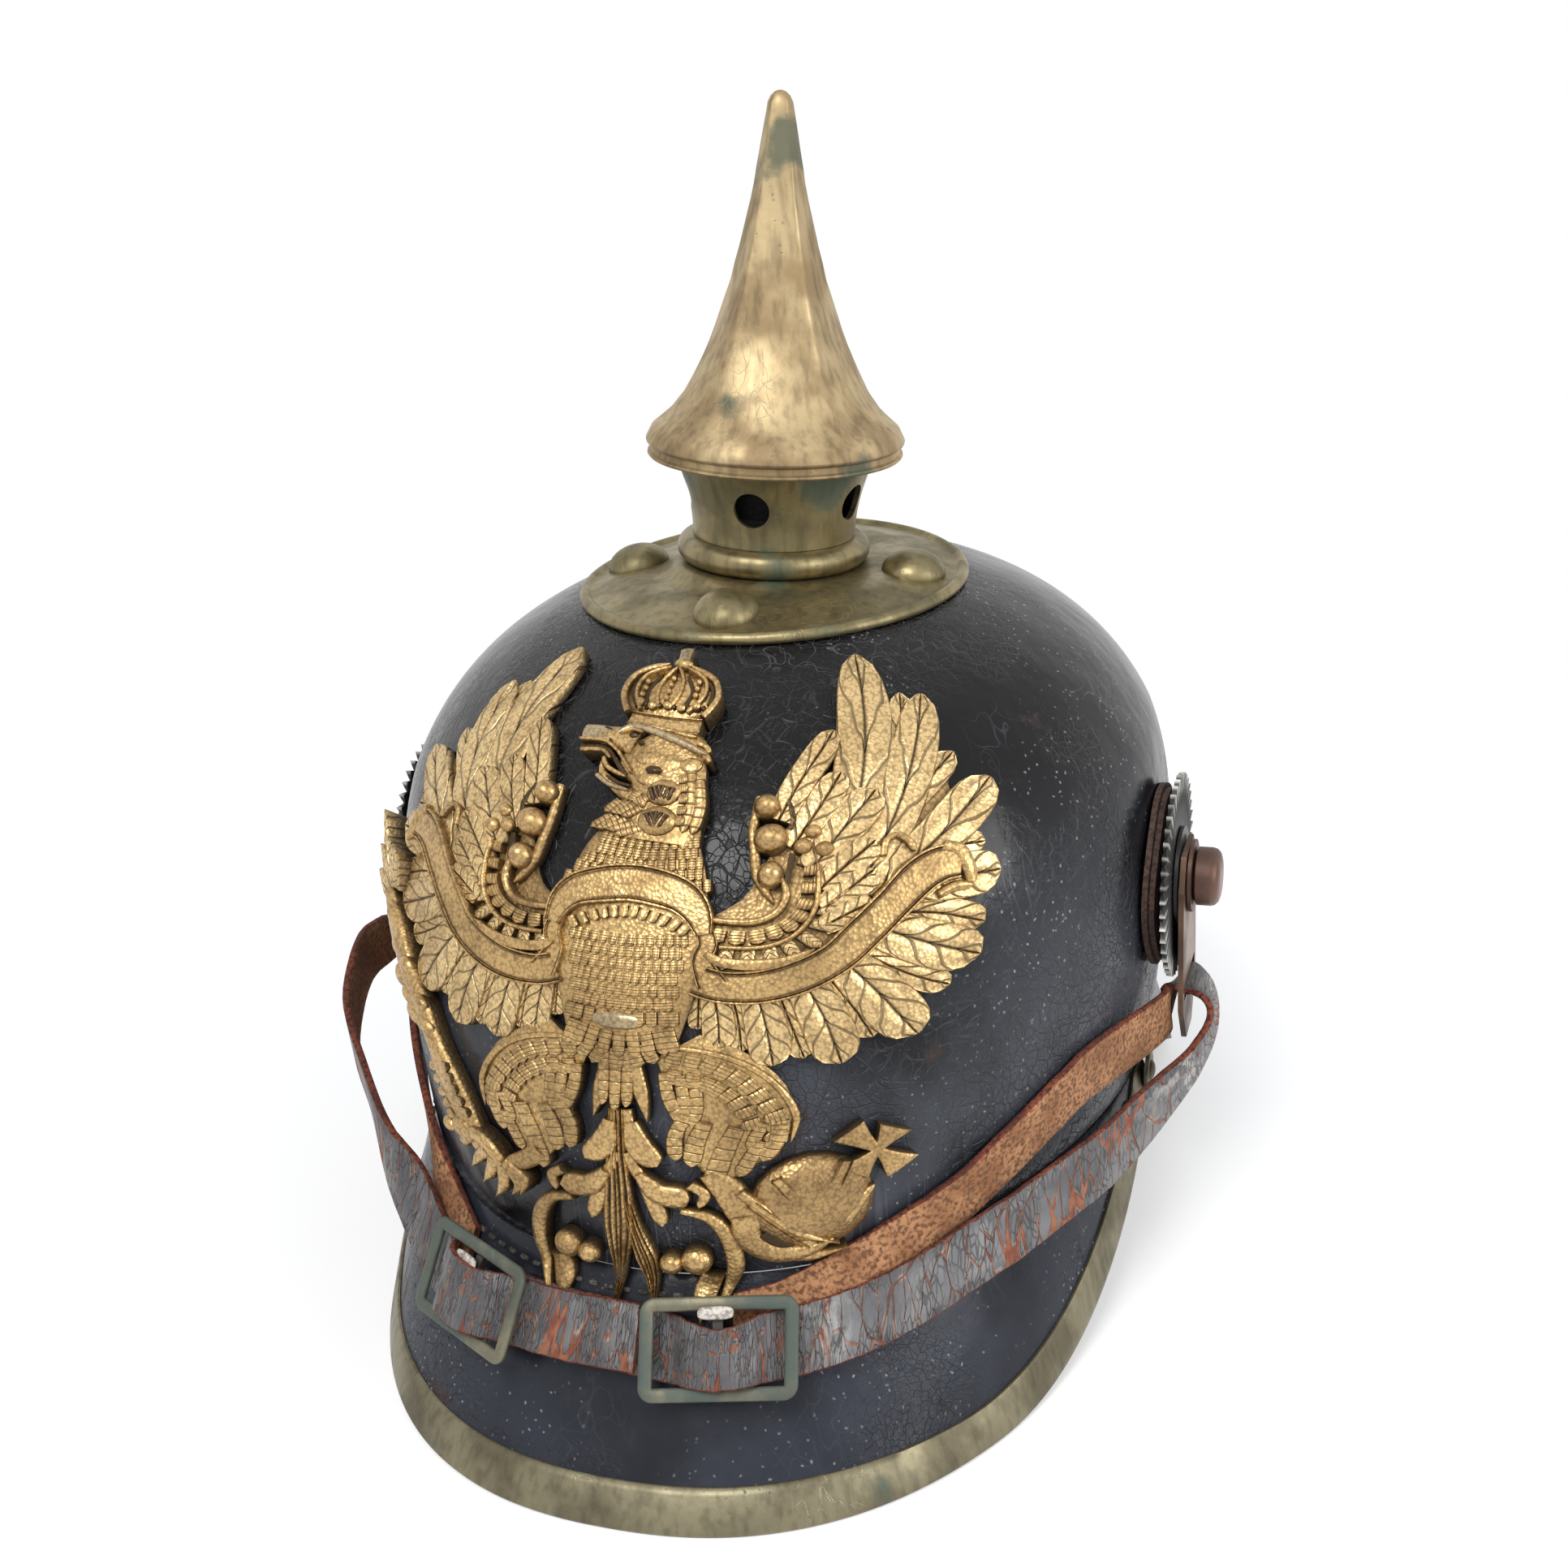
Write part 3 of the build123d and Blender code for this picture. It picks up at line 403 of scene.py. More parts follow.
class Wiring:
    """Adds and joins the nodes of one tree."""

    def __init__(self, tree: bpy.types.NodeTree) -> None:
        """Starts on a tree."""
        self.tree = tree

    def add(self, kind: str, inputs: dict | None = None, **settings: object) -> bpy.types.Node:
        """New node with its settings and inputs.

        Args:
            kind: type of the node.
            inputs: values or sockets by input name or number.
            settings: properties of the node.

        Returns:
            The node.
        """
        node = self.tree.nodes.new(kind)
        for key, value in settings.items():
            setattr(node, key, value)
        for key, value in (inputs or {}).items():
            self.feed(node.inputs[key], value)
        return node

    def feed(self, socket: Socket, value: object) -> None:
        """Links a socket, or sets its constant."""
        if isinstance(value, Socket):
            self.tree.links.new(value, socket)
        elif socket.type == "RGBA" and len(value) == 3:
            socket.default_value = (*value, 1.0)
        else:
            socket.default_value = value

    def math(self, operation: str, first: object, second: object = 0.0) -> Socket:
        """Result of a sum on one or two values."""
        return self.add("ShaderNodeMath", {0: first, 1: second}, operation=operation).outputs[0]

    def times(self, first: object, second: object) -> Socket:
        """Product of two values."""
        return self.math("MULTIPLY", first, second)

    def plus(self, first: object, second: object) -> Socket:
        """Sum of two values."""
        return self.math("ADD", first, second)

    def minus(self, first: object, second: object) -> Socket:
        """First value less the second."""
        return self.math("SUBTRACT", first, second)

    def most(self, first: object, second: object) -> Socket:
        """Larger of two values."""
        return self.math("MAXIMUM", first, second)

    def size(self, value: object) -> Socket:
        """Value without its sign."""
        return self.math("ABSOLUTE", value)

    def ramp(self, value: object, low: object, high: object) -> Socket:
        """0 below one value and 1 above another, smooth between."""
        inputs = {"Value": value, "From Min": low, "From Max": high}
        return self.add("ShaderNodeMapRange", inputs, interpolation_type="SMOOTHSTEP").outputs[0]

    def blend(self, factor: object, first: object, second: object) -> Socket:
        """Colour between two colours."""
        node = self.add("ShaderNodeMix", data_type="RGBA")
        for index, value in ((0, factor), (6, first), (7, second)):
            self.feed(node.inputs[index], value)
        return node.outputs[2]

    def cover(self, base: object, mask: object, share: float, colour: object) -> Socket:
        """Colour covered with another where a mask is set, up to a share."""
        return self.blend(self.times(mask, share), base, colour)

    def noise(self, vector: object, scale: object, detail: float = 4.0) -> Socket:
        """Cloudy value around a half."""
        return self.add("ShaderNodeTexNoise", {"Vector": vector, "Scale": scale, "Detail": detail}).outputs[0]

    def cells(self, vector: object, scale: object, feature: str = "F1") -> bpy.types.Node:
        """Cell pattern node."""
        return self.add("ShaderNodeTexVoronoi", {"Vector": vector, "Scale": scale}, feature=feature)

    def stretched(self, vector: object, scale: Sequence[float], turn: Sequence[float] = (0, 0, 0)) -> Socket:
        """Coordinates scaled and turned."""
        return self.add("ShaderNodeMapping", {"Vector": vector, "Scale": scale, "Rotation": turn}).outputs[0]

    def shifted(self, vector: object, scale: float, amount: float) -> Socket:
        """Coordinates warped by a cloudy pattern."""
        cloud = self.add("ShaderNodeTexNoise", {"Vector": vector, "Scale": scale, "Detail": 2.0}).outputs[1]
        centred = self.add("ShaderNodeVectorMath", {0: cloud, 1: (0.5, 0.5, 0.5)}, operation="SUBTRACT").outputs[0]
        scaled = self.add("ShaderNodeVectorMath", {0: centred, "Scale": amount}, operation="SCALE").outputs[0]
        return self.add("ShaderNodeVectorMath", {0: vector, 1: scaled}, operation="ADD").outputs[0]


class Effect:
    """Shared surface effects, each a node group built once."""

    @staticmethod
    def group(name: str, wire: Callable[[Wiring, Getter], Socket], **inputs: float) -> bpy.types.NodeTree:
        """Node group with one result.

        Args:
            name: name of the group.
            wire: joins the nodes and returns the result.
            inputs: its values with their defaults; every group also takes Vector.

        Returns:
            The group.
        """
        if name in bpy.data.node_groups:
            return bpy.data.node_groups[name]
        tree = bpy.data.node_groups.new(name, "ShaderNodeTree")
        tree.interface.new_socket(name="Vector", in_out="INPUT", socket_type="NodeSocketVector")
        for key, value in inputs.items():
            tree.interface.new_socket(name=key, in_out="INPUT", socket_type="NodeSocketFloat").default_value = value
        tree.interface.new_socket(name="Mask", in_out="OUTPUT", socket_type="NodeSocketFloat")
        start, end = tree.nodes.new("NodeGroupInput"), tree.nodes.new("NodeGroupOutput")
        wiring = Wiring(tree)
        wiring.feed(end.inputs[0], wire(wiring, lambda key: start.outputs[key]))
        return tree

    @staticmethod
    def spots() -> bpy.types.NodeTree:
        """Soft cloudy patches that cover a share of the surface."""
        def wire(w: Wiring, get: Getter) -> Socket:
            cloud = w.noise(get("Vector"), get("Scale"), 7.0)
            level, soft = get("Level"), get("Soft")
            return w.ramp(cloud, w.minus(level, soft), w.plus(level, soft))
        return Effect.group("soft spots", wire, Scale=40.0, Level=0.6, Soft=0.05)

    @staticmethod
    def craquelure() -> bpy.types.NodeTree:
        """Net of fine cracks in two sizes."""
        def wire(w: Wiring, get: Getter) -> Socket:
            bent = w.shifted(get("Vector"), 60.0, 0.012)
            coarse = w.cells(bent, get("Scale"), "DISTANCE_TO_EDGE").outputs["Distance"]
            fine = w.cells(bent, w.times(get("Scale"), 2.3), "DISTANCE_TO_EDGE").outputs["Distance"]
            wide = w.ramp(coarse, get("Width"), 0.0)
            thin = w.times(w.ramp(fine, get("Width"), 0.0), 0.6)
            place = w.ramp(w.noise(get("Vector"), get("Patch"), 3.0), 0.42, 0.62)
            return w.times(w.most(wide, thin), place)
        return Effect.group("craquelure", wire, Scale=400.0, Width=0.05, Patch=22.0)

    @staticmethod
    def specks() -> bpy.types.NodeTree:
        """Scattered small specks."""
        def wire(w: Wiring, get: Getter) -> Socket:
            cells = w.cells(w.shifted(get("Vector"), 300.0, 0.002), get("Scale"))
            small = w.ramp(cells.outputs["Distance"], get("Size"), 0.0)
            pick = w.math("GREATER_THAN", get("Amount"), cells.outputs["Color"])
            cloud = w.ramp(w.noise(get("Vector"), 25.0, 3.0), 0.40, 0.65)
            return w.times(w.times(small, pick), cloud)
        return Effect.group("specks", wire, Scale=700.0, Size=0.3, Amount=0.3)

    @staticmethod
    def scratches() -> bpy.types.NodeTree:
        """Thin straight scratches in two directions."""
        def wire(w: Wiring, get: Getter) -> Socket:
            lines = []
            for turn in ((0.4, 0.9, 0.3), (1.3, 0.2, 1.1), (0.1, -0.5, 0.8)):
                long = w.stretched(get("Vector"), (1.0, 1.0, 0.05), turn)
                value = w.size(w.minus(w.noise(long, get("Scale"), 1.0), 0.5))
                lines.append(w.ramp(value, get("Width"), 0.0))
            place = w.ramp(w.noise(get("Vector"), 30.0, 2.0), 0.5, 0.62)
            return w.times(w.most(w.most(*lines[:2]), lines[2]), place)
        return Effect.group("scratches", wire, Scale=120.0, Width=0.006)


class Paint:
    """One material under construction."""

    def __init__(self, name: str) -> None:
        """Starts an empty material with its shader."""
        self.material = bpy.data.materials.new(name)
        self.material.use_nodes = True
        tree = self.material.node_tree
        tree.nodes.clear()
        self.wiring = Wiring(tree)
        self.shader = self.wiring.add("ShaderNodeBsdfPrincipled")
        self.output = self.wiring.add("ShaderNodeOutputMaterial", {0: self.shader.outputs[0]})
        coordinates = self.wiring.add("ShaderNodeTexCoord")
        self.place, self.uv = coordinates.outputs["Object"], coordinates.outputs["UV"]

    def effect(self, group: bpy.types.NodeTree, vector: object = None, **values: float) -> Socket:
        """First result of a shared effect with this material's own values."""
        node = self.wiring.add("ShaderNodeGroup", node_tree=group)
        self.wiring.feed(node.inputs["Vector"], vector or self.place)
        for key, value in values.items():
            node.inputs[key].default_value = value
        return node.outputs[0]

    def spots(self, scale: float, level: float, soft: float, vector: object = None) -> Socket:
        """Soft patches of a scale above a level of the clouds."""
        return self.effect(Effect.spots(), vector, Scale=scale, Level=level, Soft=soft)

    def attribute(self, name: str) -> Socket:
        """Value painted on the mesh."""
        return self.wiring.add("ShaderNodeAttribute", attribute_name=name).outputs["Fac"]

    def bump(self, heights: Sequence[tuple[object, float]]) -> None:
        """Chain of bumps, each a height and its depth in metres."""
        normal = None
        for height, depth in heights:
            inputs = {"Height": height, "Distance": abs(depth), "Strength": 1.0}
            if normal is not None:
                inputs["Normal"] = normal
            normal = self.wiring.add("ShaderNodeBump", inputs, invert=depth < 0).outputs[0]
        self.wiring.feed(self.shader.inputs["Normal"], normal)

    def set(self, **values: object) -> None:
        """Feeds the shader, with underscores for the spaces of its sockets' names."""
        for key, value in values.items():
            self.wiring.feed(self.shader.inputs[key.replace("_", " ")], value)


@dataclass(frozen=True)
class Finish:
    """Recipe of one material."""

    name: str

    def wire(self, paint: Paint, w: Wiring) -> None:
        """Joins the nodes of the material."""
        raise NotImplementedError

    def make(self) -> bpy.types.Material:
        """Builds the material.

        Returns:
            The material.
        """
        paint = Paint(self.name)
        self.wire(paint, paint.wiring)
        return paint.material


@dataclass(frozen=True)
class Lacquer(Finish):
    """Black lacquered leather, cracked and dusty, with blue-grey patches that are partly dust and partly painted sheen,
    fading out above a given height.
    """

    colour: Triple = (0.0035, 0.0035, 0.0045)
    # Blue-grey colour of the dust and painted sheen.
    dust_and_sheen: Triple = (0.055, 0.060, 0.076)
    worn: Triple = (0.060, 0.032, 0.022)
    crack_scale: float = 300.0
    crack_depth: float = 0.14 * MM
    crack_light: float = 0.035
    dust: float = 0.55
    roughness: float = 0.20
    gloss: float = 0.26
    scratch: float = 0.35
    # Heights between which the blue-grey patches of dust and painted sheen fade out upwards.
    dust_and_sheen_heights: tuple[float, float] = (90 * MM, 25 * MM)

    def wire(self, paint: Paint, w: Wiring) -> None:
        """Joins the nodes of the material."""
        # Blue-grey patches, partly dust and partly painted sheen, fading out upwards.
        dust_and_sheen = paint.spots(24.0, 0.50, 0.16)
        height = w.add("ShaderNodeSeparateXYZ", {0: paint.place}).outputs[2]
        dust_and_sheen = w.times(dust_and_sheen, w.ramp(height, *self.dust_and_sheen_heights))
        wear = paint.spots(55.0, 0.69, 0.05)
        cracks = paint.effect(Effect.craquelure(), Scale=self.crack_scale, Width=0.055, Patch=20.0)
        dust = paint.effect(Effect.specks(), Scale=620.0, Size=0.26, Amount=self.dust)
        lines = paint.effect(Effect.scratches(), Scale=120.0, Width=0.008)
        base = w.blend(dust_and_sheen, self.colour, self.dust_and_sheen)
        base = w.cover(base, wear, 0.7, self.worn)
        base = w.cover(base, cracks, 0.8, (self.crack_light,) * 3)
        base = w.cover(base, lines, self.scratch, (0.17, 0.18, 0.20))
        base = w.cover(base, dust, 0.75, (0.50, 0.49, 0.46))
        rough = w.plus(w.times(dust_and_sheen, 0.13), self.roughness)
        rough = w.plus(rough, w.times(w.most(wear, cracks), 0.3))
        rough = w.plus(rough, w.times(dust, 0.4))
        paint.set(Base_Color=base, Roughness=rough, Specular_IOR_Level=self.gloss)
        paint.bump([(w.noise(paint.place, 38.0, 3.0), 1.1 * MM), (w.noise(paint.place, 420.0, 4.0), 0.08 * MM),
                    (cracks, -self.crack_depth), (dust, 0.06 * MM)])


@dataclass(frozen=True)
class Brass(Finish):
    """Old brass with dark pits, patches of verdigris and dull wear."""

    bright: Triple = (0.43, 0.325, 0.165)
    dull: Triple = (0.245, 0.185, 0.095)
    dark: Triple = (0.055, 0.042, 0.028)
    green: Triple = (0.034, 0.066, 0.045)
    green_level: float = 0.69
    dull_level: float = 0.50
    streaks: Triple = (1.0, 1.0, 0.06)
    roughness: float = 0.34
    metal: float = 0.85

    def wire(self, paint: Paint, w: Wiring) -> None:
        """Joins the nodes of the material."""
        clouds = paint.spots(70.0, self.dull_level, 0.12)
        stains = paint.spots(520.0, 0.56, 0.15, w.stretched(paint.place, self.streaks))
        pits = paint.effect(Effect.specks(), Scale=900.0, Size=0.40, Amount=0.22)
        green = paint.spots(42.0, self.green_level, 0.045)
        lines = paint.effect(Effect.scratches(), Scale=160.0, Width=0.006)
        base = w.blend(clouds, self.bright, self.dull)
        base = w.cover(base, stains, 0.38, self.dark)
        base = w.cover(base, pits, 0.75, self.dark)
        base = w.cover(base, green, 0.75, self.green)
        base = w.cover(base, lines, 0.35, self.bright)
        rough = w.plus(w.times(w.most(clouds, green), 0.16), self.roughness)
        metal = w.minus(self.metal, w.times(w.most(green, pits), 0.7))
        paint.set(Base_Color=base, Roughness=rough, Metallic=metal)
        paint.bump([(w.noise(paint.place, 60.0, 3.0), 0.25 * MM), (w.noise(paint.place, 900.0, 3.0), 0.03 * MM),
                    (pits, -0.05 * MM), (lines, -0.03 * MM)])


@dataclass(frozen=True)
class Gilt(Finish):
    """Bright gilt brass, stamped with fine dots, or with the veins of feathers, with painted shade darkening the gaps
    between dots, the veins and the places painted as lying deep on each tile.
    """

    bright: Triple = (0.60, 0.395, 0.165)
    dull: Triple = (0.31, 0.195, 0.080)
    # Colour of the painted shade in hollows.
    dark: Triple = (0.060, 0.040, 0.024)
    veins: float = 0.0
    slant: float = 0.0
    vein_width: float = 0.30
    vein_depth: float = 0.30 * MM
    dots: float = 0.10 * MM
    roughness: float = 0.30

    def wire(self, paint: Paint, w: Wiring) -> None:
        """Joins the nodes of the material."""
        recess = paint.attribute("recess")
        clouds = paint.spots(75.0, 0.54, 0.12)
        stains = paint.spots(260.0, 0.60, 0.06)
        dots = w.cells(paint.place, 1350.0).outputs["Distance"]
        heights = [(dots, self.dots), (w.noise(paint.place, 260.0, 3.0), 0.25 * MM)]
        # Painted shade in the gaps between the stamped dots.
        hollow_shade = w.times(w.ramp(dots, 0.42, 0.75), 0.6)
        if self.veins:
            parts = w.add("ShaderNodeSeparateXYZ", {0: paint.uv})
            side = w.size(w.minus(parts.outputs[0], 0.5))
            run = w.minus(w.times(parts.outputs[1], self.veins), w.times(side, self.slant))
            bent = w.plus(run, w.times(w.noise(paint.place, 150.0, 1.0), 0.6))
            wave = w.size(w.math("SINE", w.times(bent, math.pi)))
            vein = w.ramp(wave, self.vein_width, 0.0)
            heights.append((vein, -self.vein_depth))
            hollow_shade = w.most(hollow_shade, vein)
        base = w.blend(w.times(clouds, 0.7), self.bright, self.dull)
        base = w.cover(base, stains, 0.55, self.dull)
        # Painted shade: the gaps between the stamped dots, the veins and the vertices painted as lying deep are
        # darkened.
        base = w.cover(base, hollow_shade, 0.72, self.dark)
        base = w.cover(base, w.ramp(recess, 0.05, 0.95), 0.92, self.dark)
        rough = w.plus(w.times(w.most(clouds, recess), 0.2), self.roughness)
        paint.set(Base_Color=base, Roughness=rough, Metallic=0.8)
        paint.bump(heights)


@dataclass(frozen=True)
class CrackedStrap(Finish):
    """Grey-black lacquer that has cracked into plates across the strap and shows red-brown leather."""

    lacquer: Triple = (0.085, 0.084, 0.088)
    grey: Triple = (0.175, 0.172, 0.175)
    orange: Triple = (0.33, 0.125, 0.065)
    leather: Triple = (0.19, 0.055, 0.028)
    pale: Triple = (0.50, 0.38, 0.30)
    around: float = 0.030
    length: float = 0.30
    plates: tuple[float, float] = (150.0, 430.0)
    craze: tuple[float, float] = (520.0, 1250.0)
    chalk: Triple = (0.46, 0.45, 0.43)

    def wire(self, paint: Paint, w: Wiring) -> None:
        """Joins the nodes of the material."""
        flat = w.stretched(paint.uv, (self.around, self.length, 1.0))
        bent = w.shifted(flat, 260.0, 0.0016)
        plates = w.cells(w.stretched(bent, (*self.plates, 1.0)), 1.0, "DISTANCE_TO_EDGE").outputs["Distance"]
        fine = w.cells(w.stretched(bent, (*self.craze, 1.0)), 1.0, "DISTANCE_TO_EDGE").outputs["Distance"]
        gap = w.plus(w.times(w.ramp(w.noise(flat, 70.0, 3.0), 0.45, 0.75), 0.20), 0.012)
        past = w.minus(plates, gap)
        bare = w.ramp(past, 0.03, -0.02)
        craze = w.times(w.ramp(fine, 0.10, 0.02), w.ramp(w.noise(flat, 120.0, 2.0), 0.35, 0.55))
        lip = w.times(w.ramp(w.size(w.minus(past, 0.02)), 0.03, 0.0),
                     w.ramp(w.noise(flat, 300.0, 2.0), 0.5, 0.62))
        sheen = w.ramp(w.noise(flat, 90.0, 3.0), 0.42, 0.66)
        base = w.blend(sheen, self.lacquer, self.grey)
        base = w.cover(base, craze, 0.75, (0.012, 0.011, 0.011))
        red = w.blend(w.ramp(w.noise(flat, 420.0, 5.0), 0.38, 0.62), self.orange, self.leather)
        base = w.blend(bare, base, red)
        base = w.cover(base, lip, 0.6, self.pale)
        dusty = w.times(w.ramp(w.noise(flat, 38.0, 2.0), 0.52, 0.64), w.ramp(w.noise(flat, 500.0, 4.0), 0.46, 0.60))
        base = w.cover(base, dusty, 0.75, self.chalk)
        rough = w.plus(w.times(bare, 0.40), 0.38)
        paint.set(Base_Color=base, Roughness=rough)
        paint.bump([(bare, -0.35 * MM), (craze, -0.10 * MM), (w.noise(flat, 900.0, 4.0), 0.08 * MM)])


@dataclass(frozen=True)
class Suede(Finish):
    """Rough undyed side or edge of leather."""

    light: Triple = (0.36, 0.125, 0.052)
    deep: Triple = (0.20, 0.058, 0.026)
    grain: float = 0.18 * MM
    roughness: float = 0.9

    def wire(self, paint: Paint, w: Wiring) -> None:
        """Joins the nodes of the material."""
        clouds = paint.spots(120.0, 0.5, 0.16)
        fibre = w.noise(paint.place, 1100.0, 5.0)
        base = w.blend(clouds, self.light, self.deep)
        base = w.blend(w.ramp(fibre, 0.6, 0.35), base, tuple(0.45 * c for c in self.deep))
        paint.set(Base_Color=base, Roughness=self.roughness)
        paint.bump([(fibre, self.grain), (w.noise(paint.place, 250.0, 3.0), 0.25 * MM)])


@dataclass(frozen=True)
class Enamel(Finish):
    """Dark painted sheet whose raised teeth are pale, partly from worn paint and partly as painted highlight."""

    dark: Triple = (0.022, 0.022, 0.021)
    pale: Triple = (0.68, 0.67, 0.62)
    pale_share: float = 0.75

    def wire(self, paint: Paint, w: Wiring) -> None:
        """Joins the nodes of the material."""
        high = paint.attribute("recess")
        chips = paint.spots(260.0, 0.50, 0.07)
        # Pale on the teeth's crests: partly worn paint and partly painted highlight.
        worn = w.times(w.ramp(high, 0.55, 0.95), w.plus(w.times(chips, 0.5), 0.5))
        base = w.blend(w.times(worn, self.pale_share), self.dark, self.pale)
        paint.set(Base_Color=base, Roughness=0.42, Metallic=0.25)
        paint.bump([(w.noise(paint.place, 700.0, 4.0), 0.06 * MM)])


class Finishes:
    """Every material of the helmet, made once."""

    def __init__(self) -> None:
        """Builds the materials."""
        # Both lacquers carry blue-grey patches that are partly dust and partly painted sheen.
        self.shell = Lacquer("shell lacquer").make()
        self.visor = Lacquer("visor lacquer", colour=(0.012, 0.013, 0.018), dust_and_sheen=(0.030, 0.034, 0.048),
                             crack_scale=520.0, crack_depth=0.04 * MM, crack_light=0.004, dust=0.5, roughness=0.22,
                             gloss=0.22, scratch=0.08, dust_and_sheen_heights=(500 * MM, 400 * MM)).make()
        self.spike = Brass("spike brass", (0.50, 0.385, 0.215), (0.33, 0.240, 0.130), green_level=0.65,
                           roughness=0.50).make()
        self.plate = Brass("plate brass", (0.30, 0.245, 0.125), (0.175, 0.150, 0.078), green_level=0.64,
                           roughness=0.36).make()
        self.trim = Brass("trim brass", (0.23, 0.205, 0.130), (0.135, 0.118, 0.075), green_level=0.70,
                          roughness=0.40).make()
        self.lug = Brass("lug brass", (0.19, 0.105, 0.060), (0.10, 0.055, 0.034), green_level=0.70, metal=0.5).make()
        self.buckle = Brass("buckle brass", (0.21, 0.19, 0.125), (0.105, 0.110, 0.082), green=(0.055, 0.082, 0.070),
                            dark=(0.05, 0.055, 0.045), green_level=0.50, roughness=0.45, metal=0.45).make()
        self.boss = Brass("boss copper", (0.17, 0.085, 0.060), (0.09, 0.045, 0.032), green_level=0.74, metal=0.5).make()
        self.gilt = Gilt("gilt").make()
        self.feather = Gilt("gilt feather", (0.80, 0.57, 0.27), (0.47, 0.32, 0.145), veins=5.0, slant=3.4,
                            vein_width=0.36, dots=0.08 * MM).make()
        self.umber = Gilt("gilt umber", (0.43, 0.275, 0.115), (0.22, 0.135, 0.058)).make()
        self.ball = Gilt("gilt ball", (0.66, 0.44, 0.19), (0.40, 0.25, 0.10), dots=0.01 * MM, roughness=0.2).make()
        self.tuft = Gilt("gilt tuft", veins=7.0, vein_width=0.42, vein_depth=0.14 * MM, dots=0.04 * MM).make()
        self.worn_gilt = Gilt("worn gilt", (0.50, 0.385, 0.225), (0.30, 0.225, 0.130), dots=0.02 * MM).make()
        # Near-black gilt for dark strips and spots of painted shade that stand for engraved lines, eyes and holes.
        self.deep = Gilt("gilt recess", (0.080, 0.048, 0.020), (0.045, 0.028, 0.013)).make()
        self.strap = CrackedStrap("strap lacquer").make()
        self.strap_back = Suede("strap suede", (0.47, 0.235, 0.110), (0.30, 0.130, 0.055)).make()
        self.strap_edge = Suede("strap edge", (0.24, 0.060, 0.030), (0.11, 0.028, 0.016), grain=0.35 * MM).make()
        self.washer = Suede("washer leather", (0.095, 0.045, 0.028), (0.040, 0.020, 0.014), roughness=0.75).make()
        self.liner = Suede("liner leather", (0.42, 0.25, 0.13), (0.25, 0.13, 0.065), grain=0.06 * MM,
                           roughness=0.6).make()
        self.cord = Suede("lace cord", (0.48, 0.40, 0.29), (0.30, 0.24, 0.16)).make()
        self.thread = Suede("thread", (0.16, 0.14, 0.12), (0.07, 0.06, 0.05), grain=0.05 * MM).make()
        self.iron = Brass("japanned iron", (0.060, 0.052, 0.045), (0.030, 0.026, 0.024),
                          green_level=0.8, metal=0.4, roughness=0.5).make()
        self.enamel = Enamel("cockade enamel").make()
        # Near-black painted shade for inner faces that lie in shade.
        self.soot = Suede("soot", (0.010, 0.009, 0.008), (0.005, 0.005, 0.004)).make()
        self.bone = Suede("bone", (0.70, 0.65, 0.58), (0.60, 0.55, 0.48), grain=0.03 * MM, roughness=0.5).make()

    def dress_nodes(self) -> None:
        """Gives the CAD nodes that stay visible their materials."""
        # The spike's socket gets the near-black painted shade.
        by_word = {"liner_lace": self.cord, "liner": self.liner, "sweatband": self.liner,
                   "stud_washers": self.washer, "crown_stiffener": self.iron, "eagle_wedges": self.liner,
                   "eagle": self.gilt, "leather": self.washer, "lug": self.lug, "vent": self.plate,
                   "spine": self.plate, "spike_socket": self.soot, "post": self.boss, "cockade": self.enamel,
                   "_bar": self.iron, "buckle": self.buckle, "trim": self.trim}
        for name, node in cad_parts.items():
            finish = next((paint for word, paint in by_word.items() if word in name), self.plate)
            node.data.materials.clear()
            node.data.materials.append(finish)


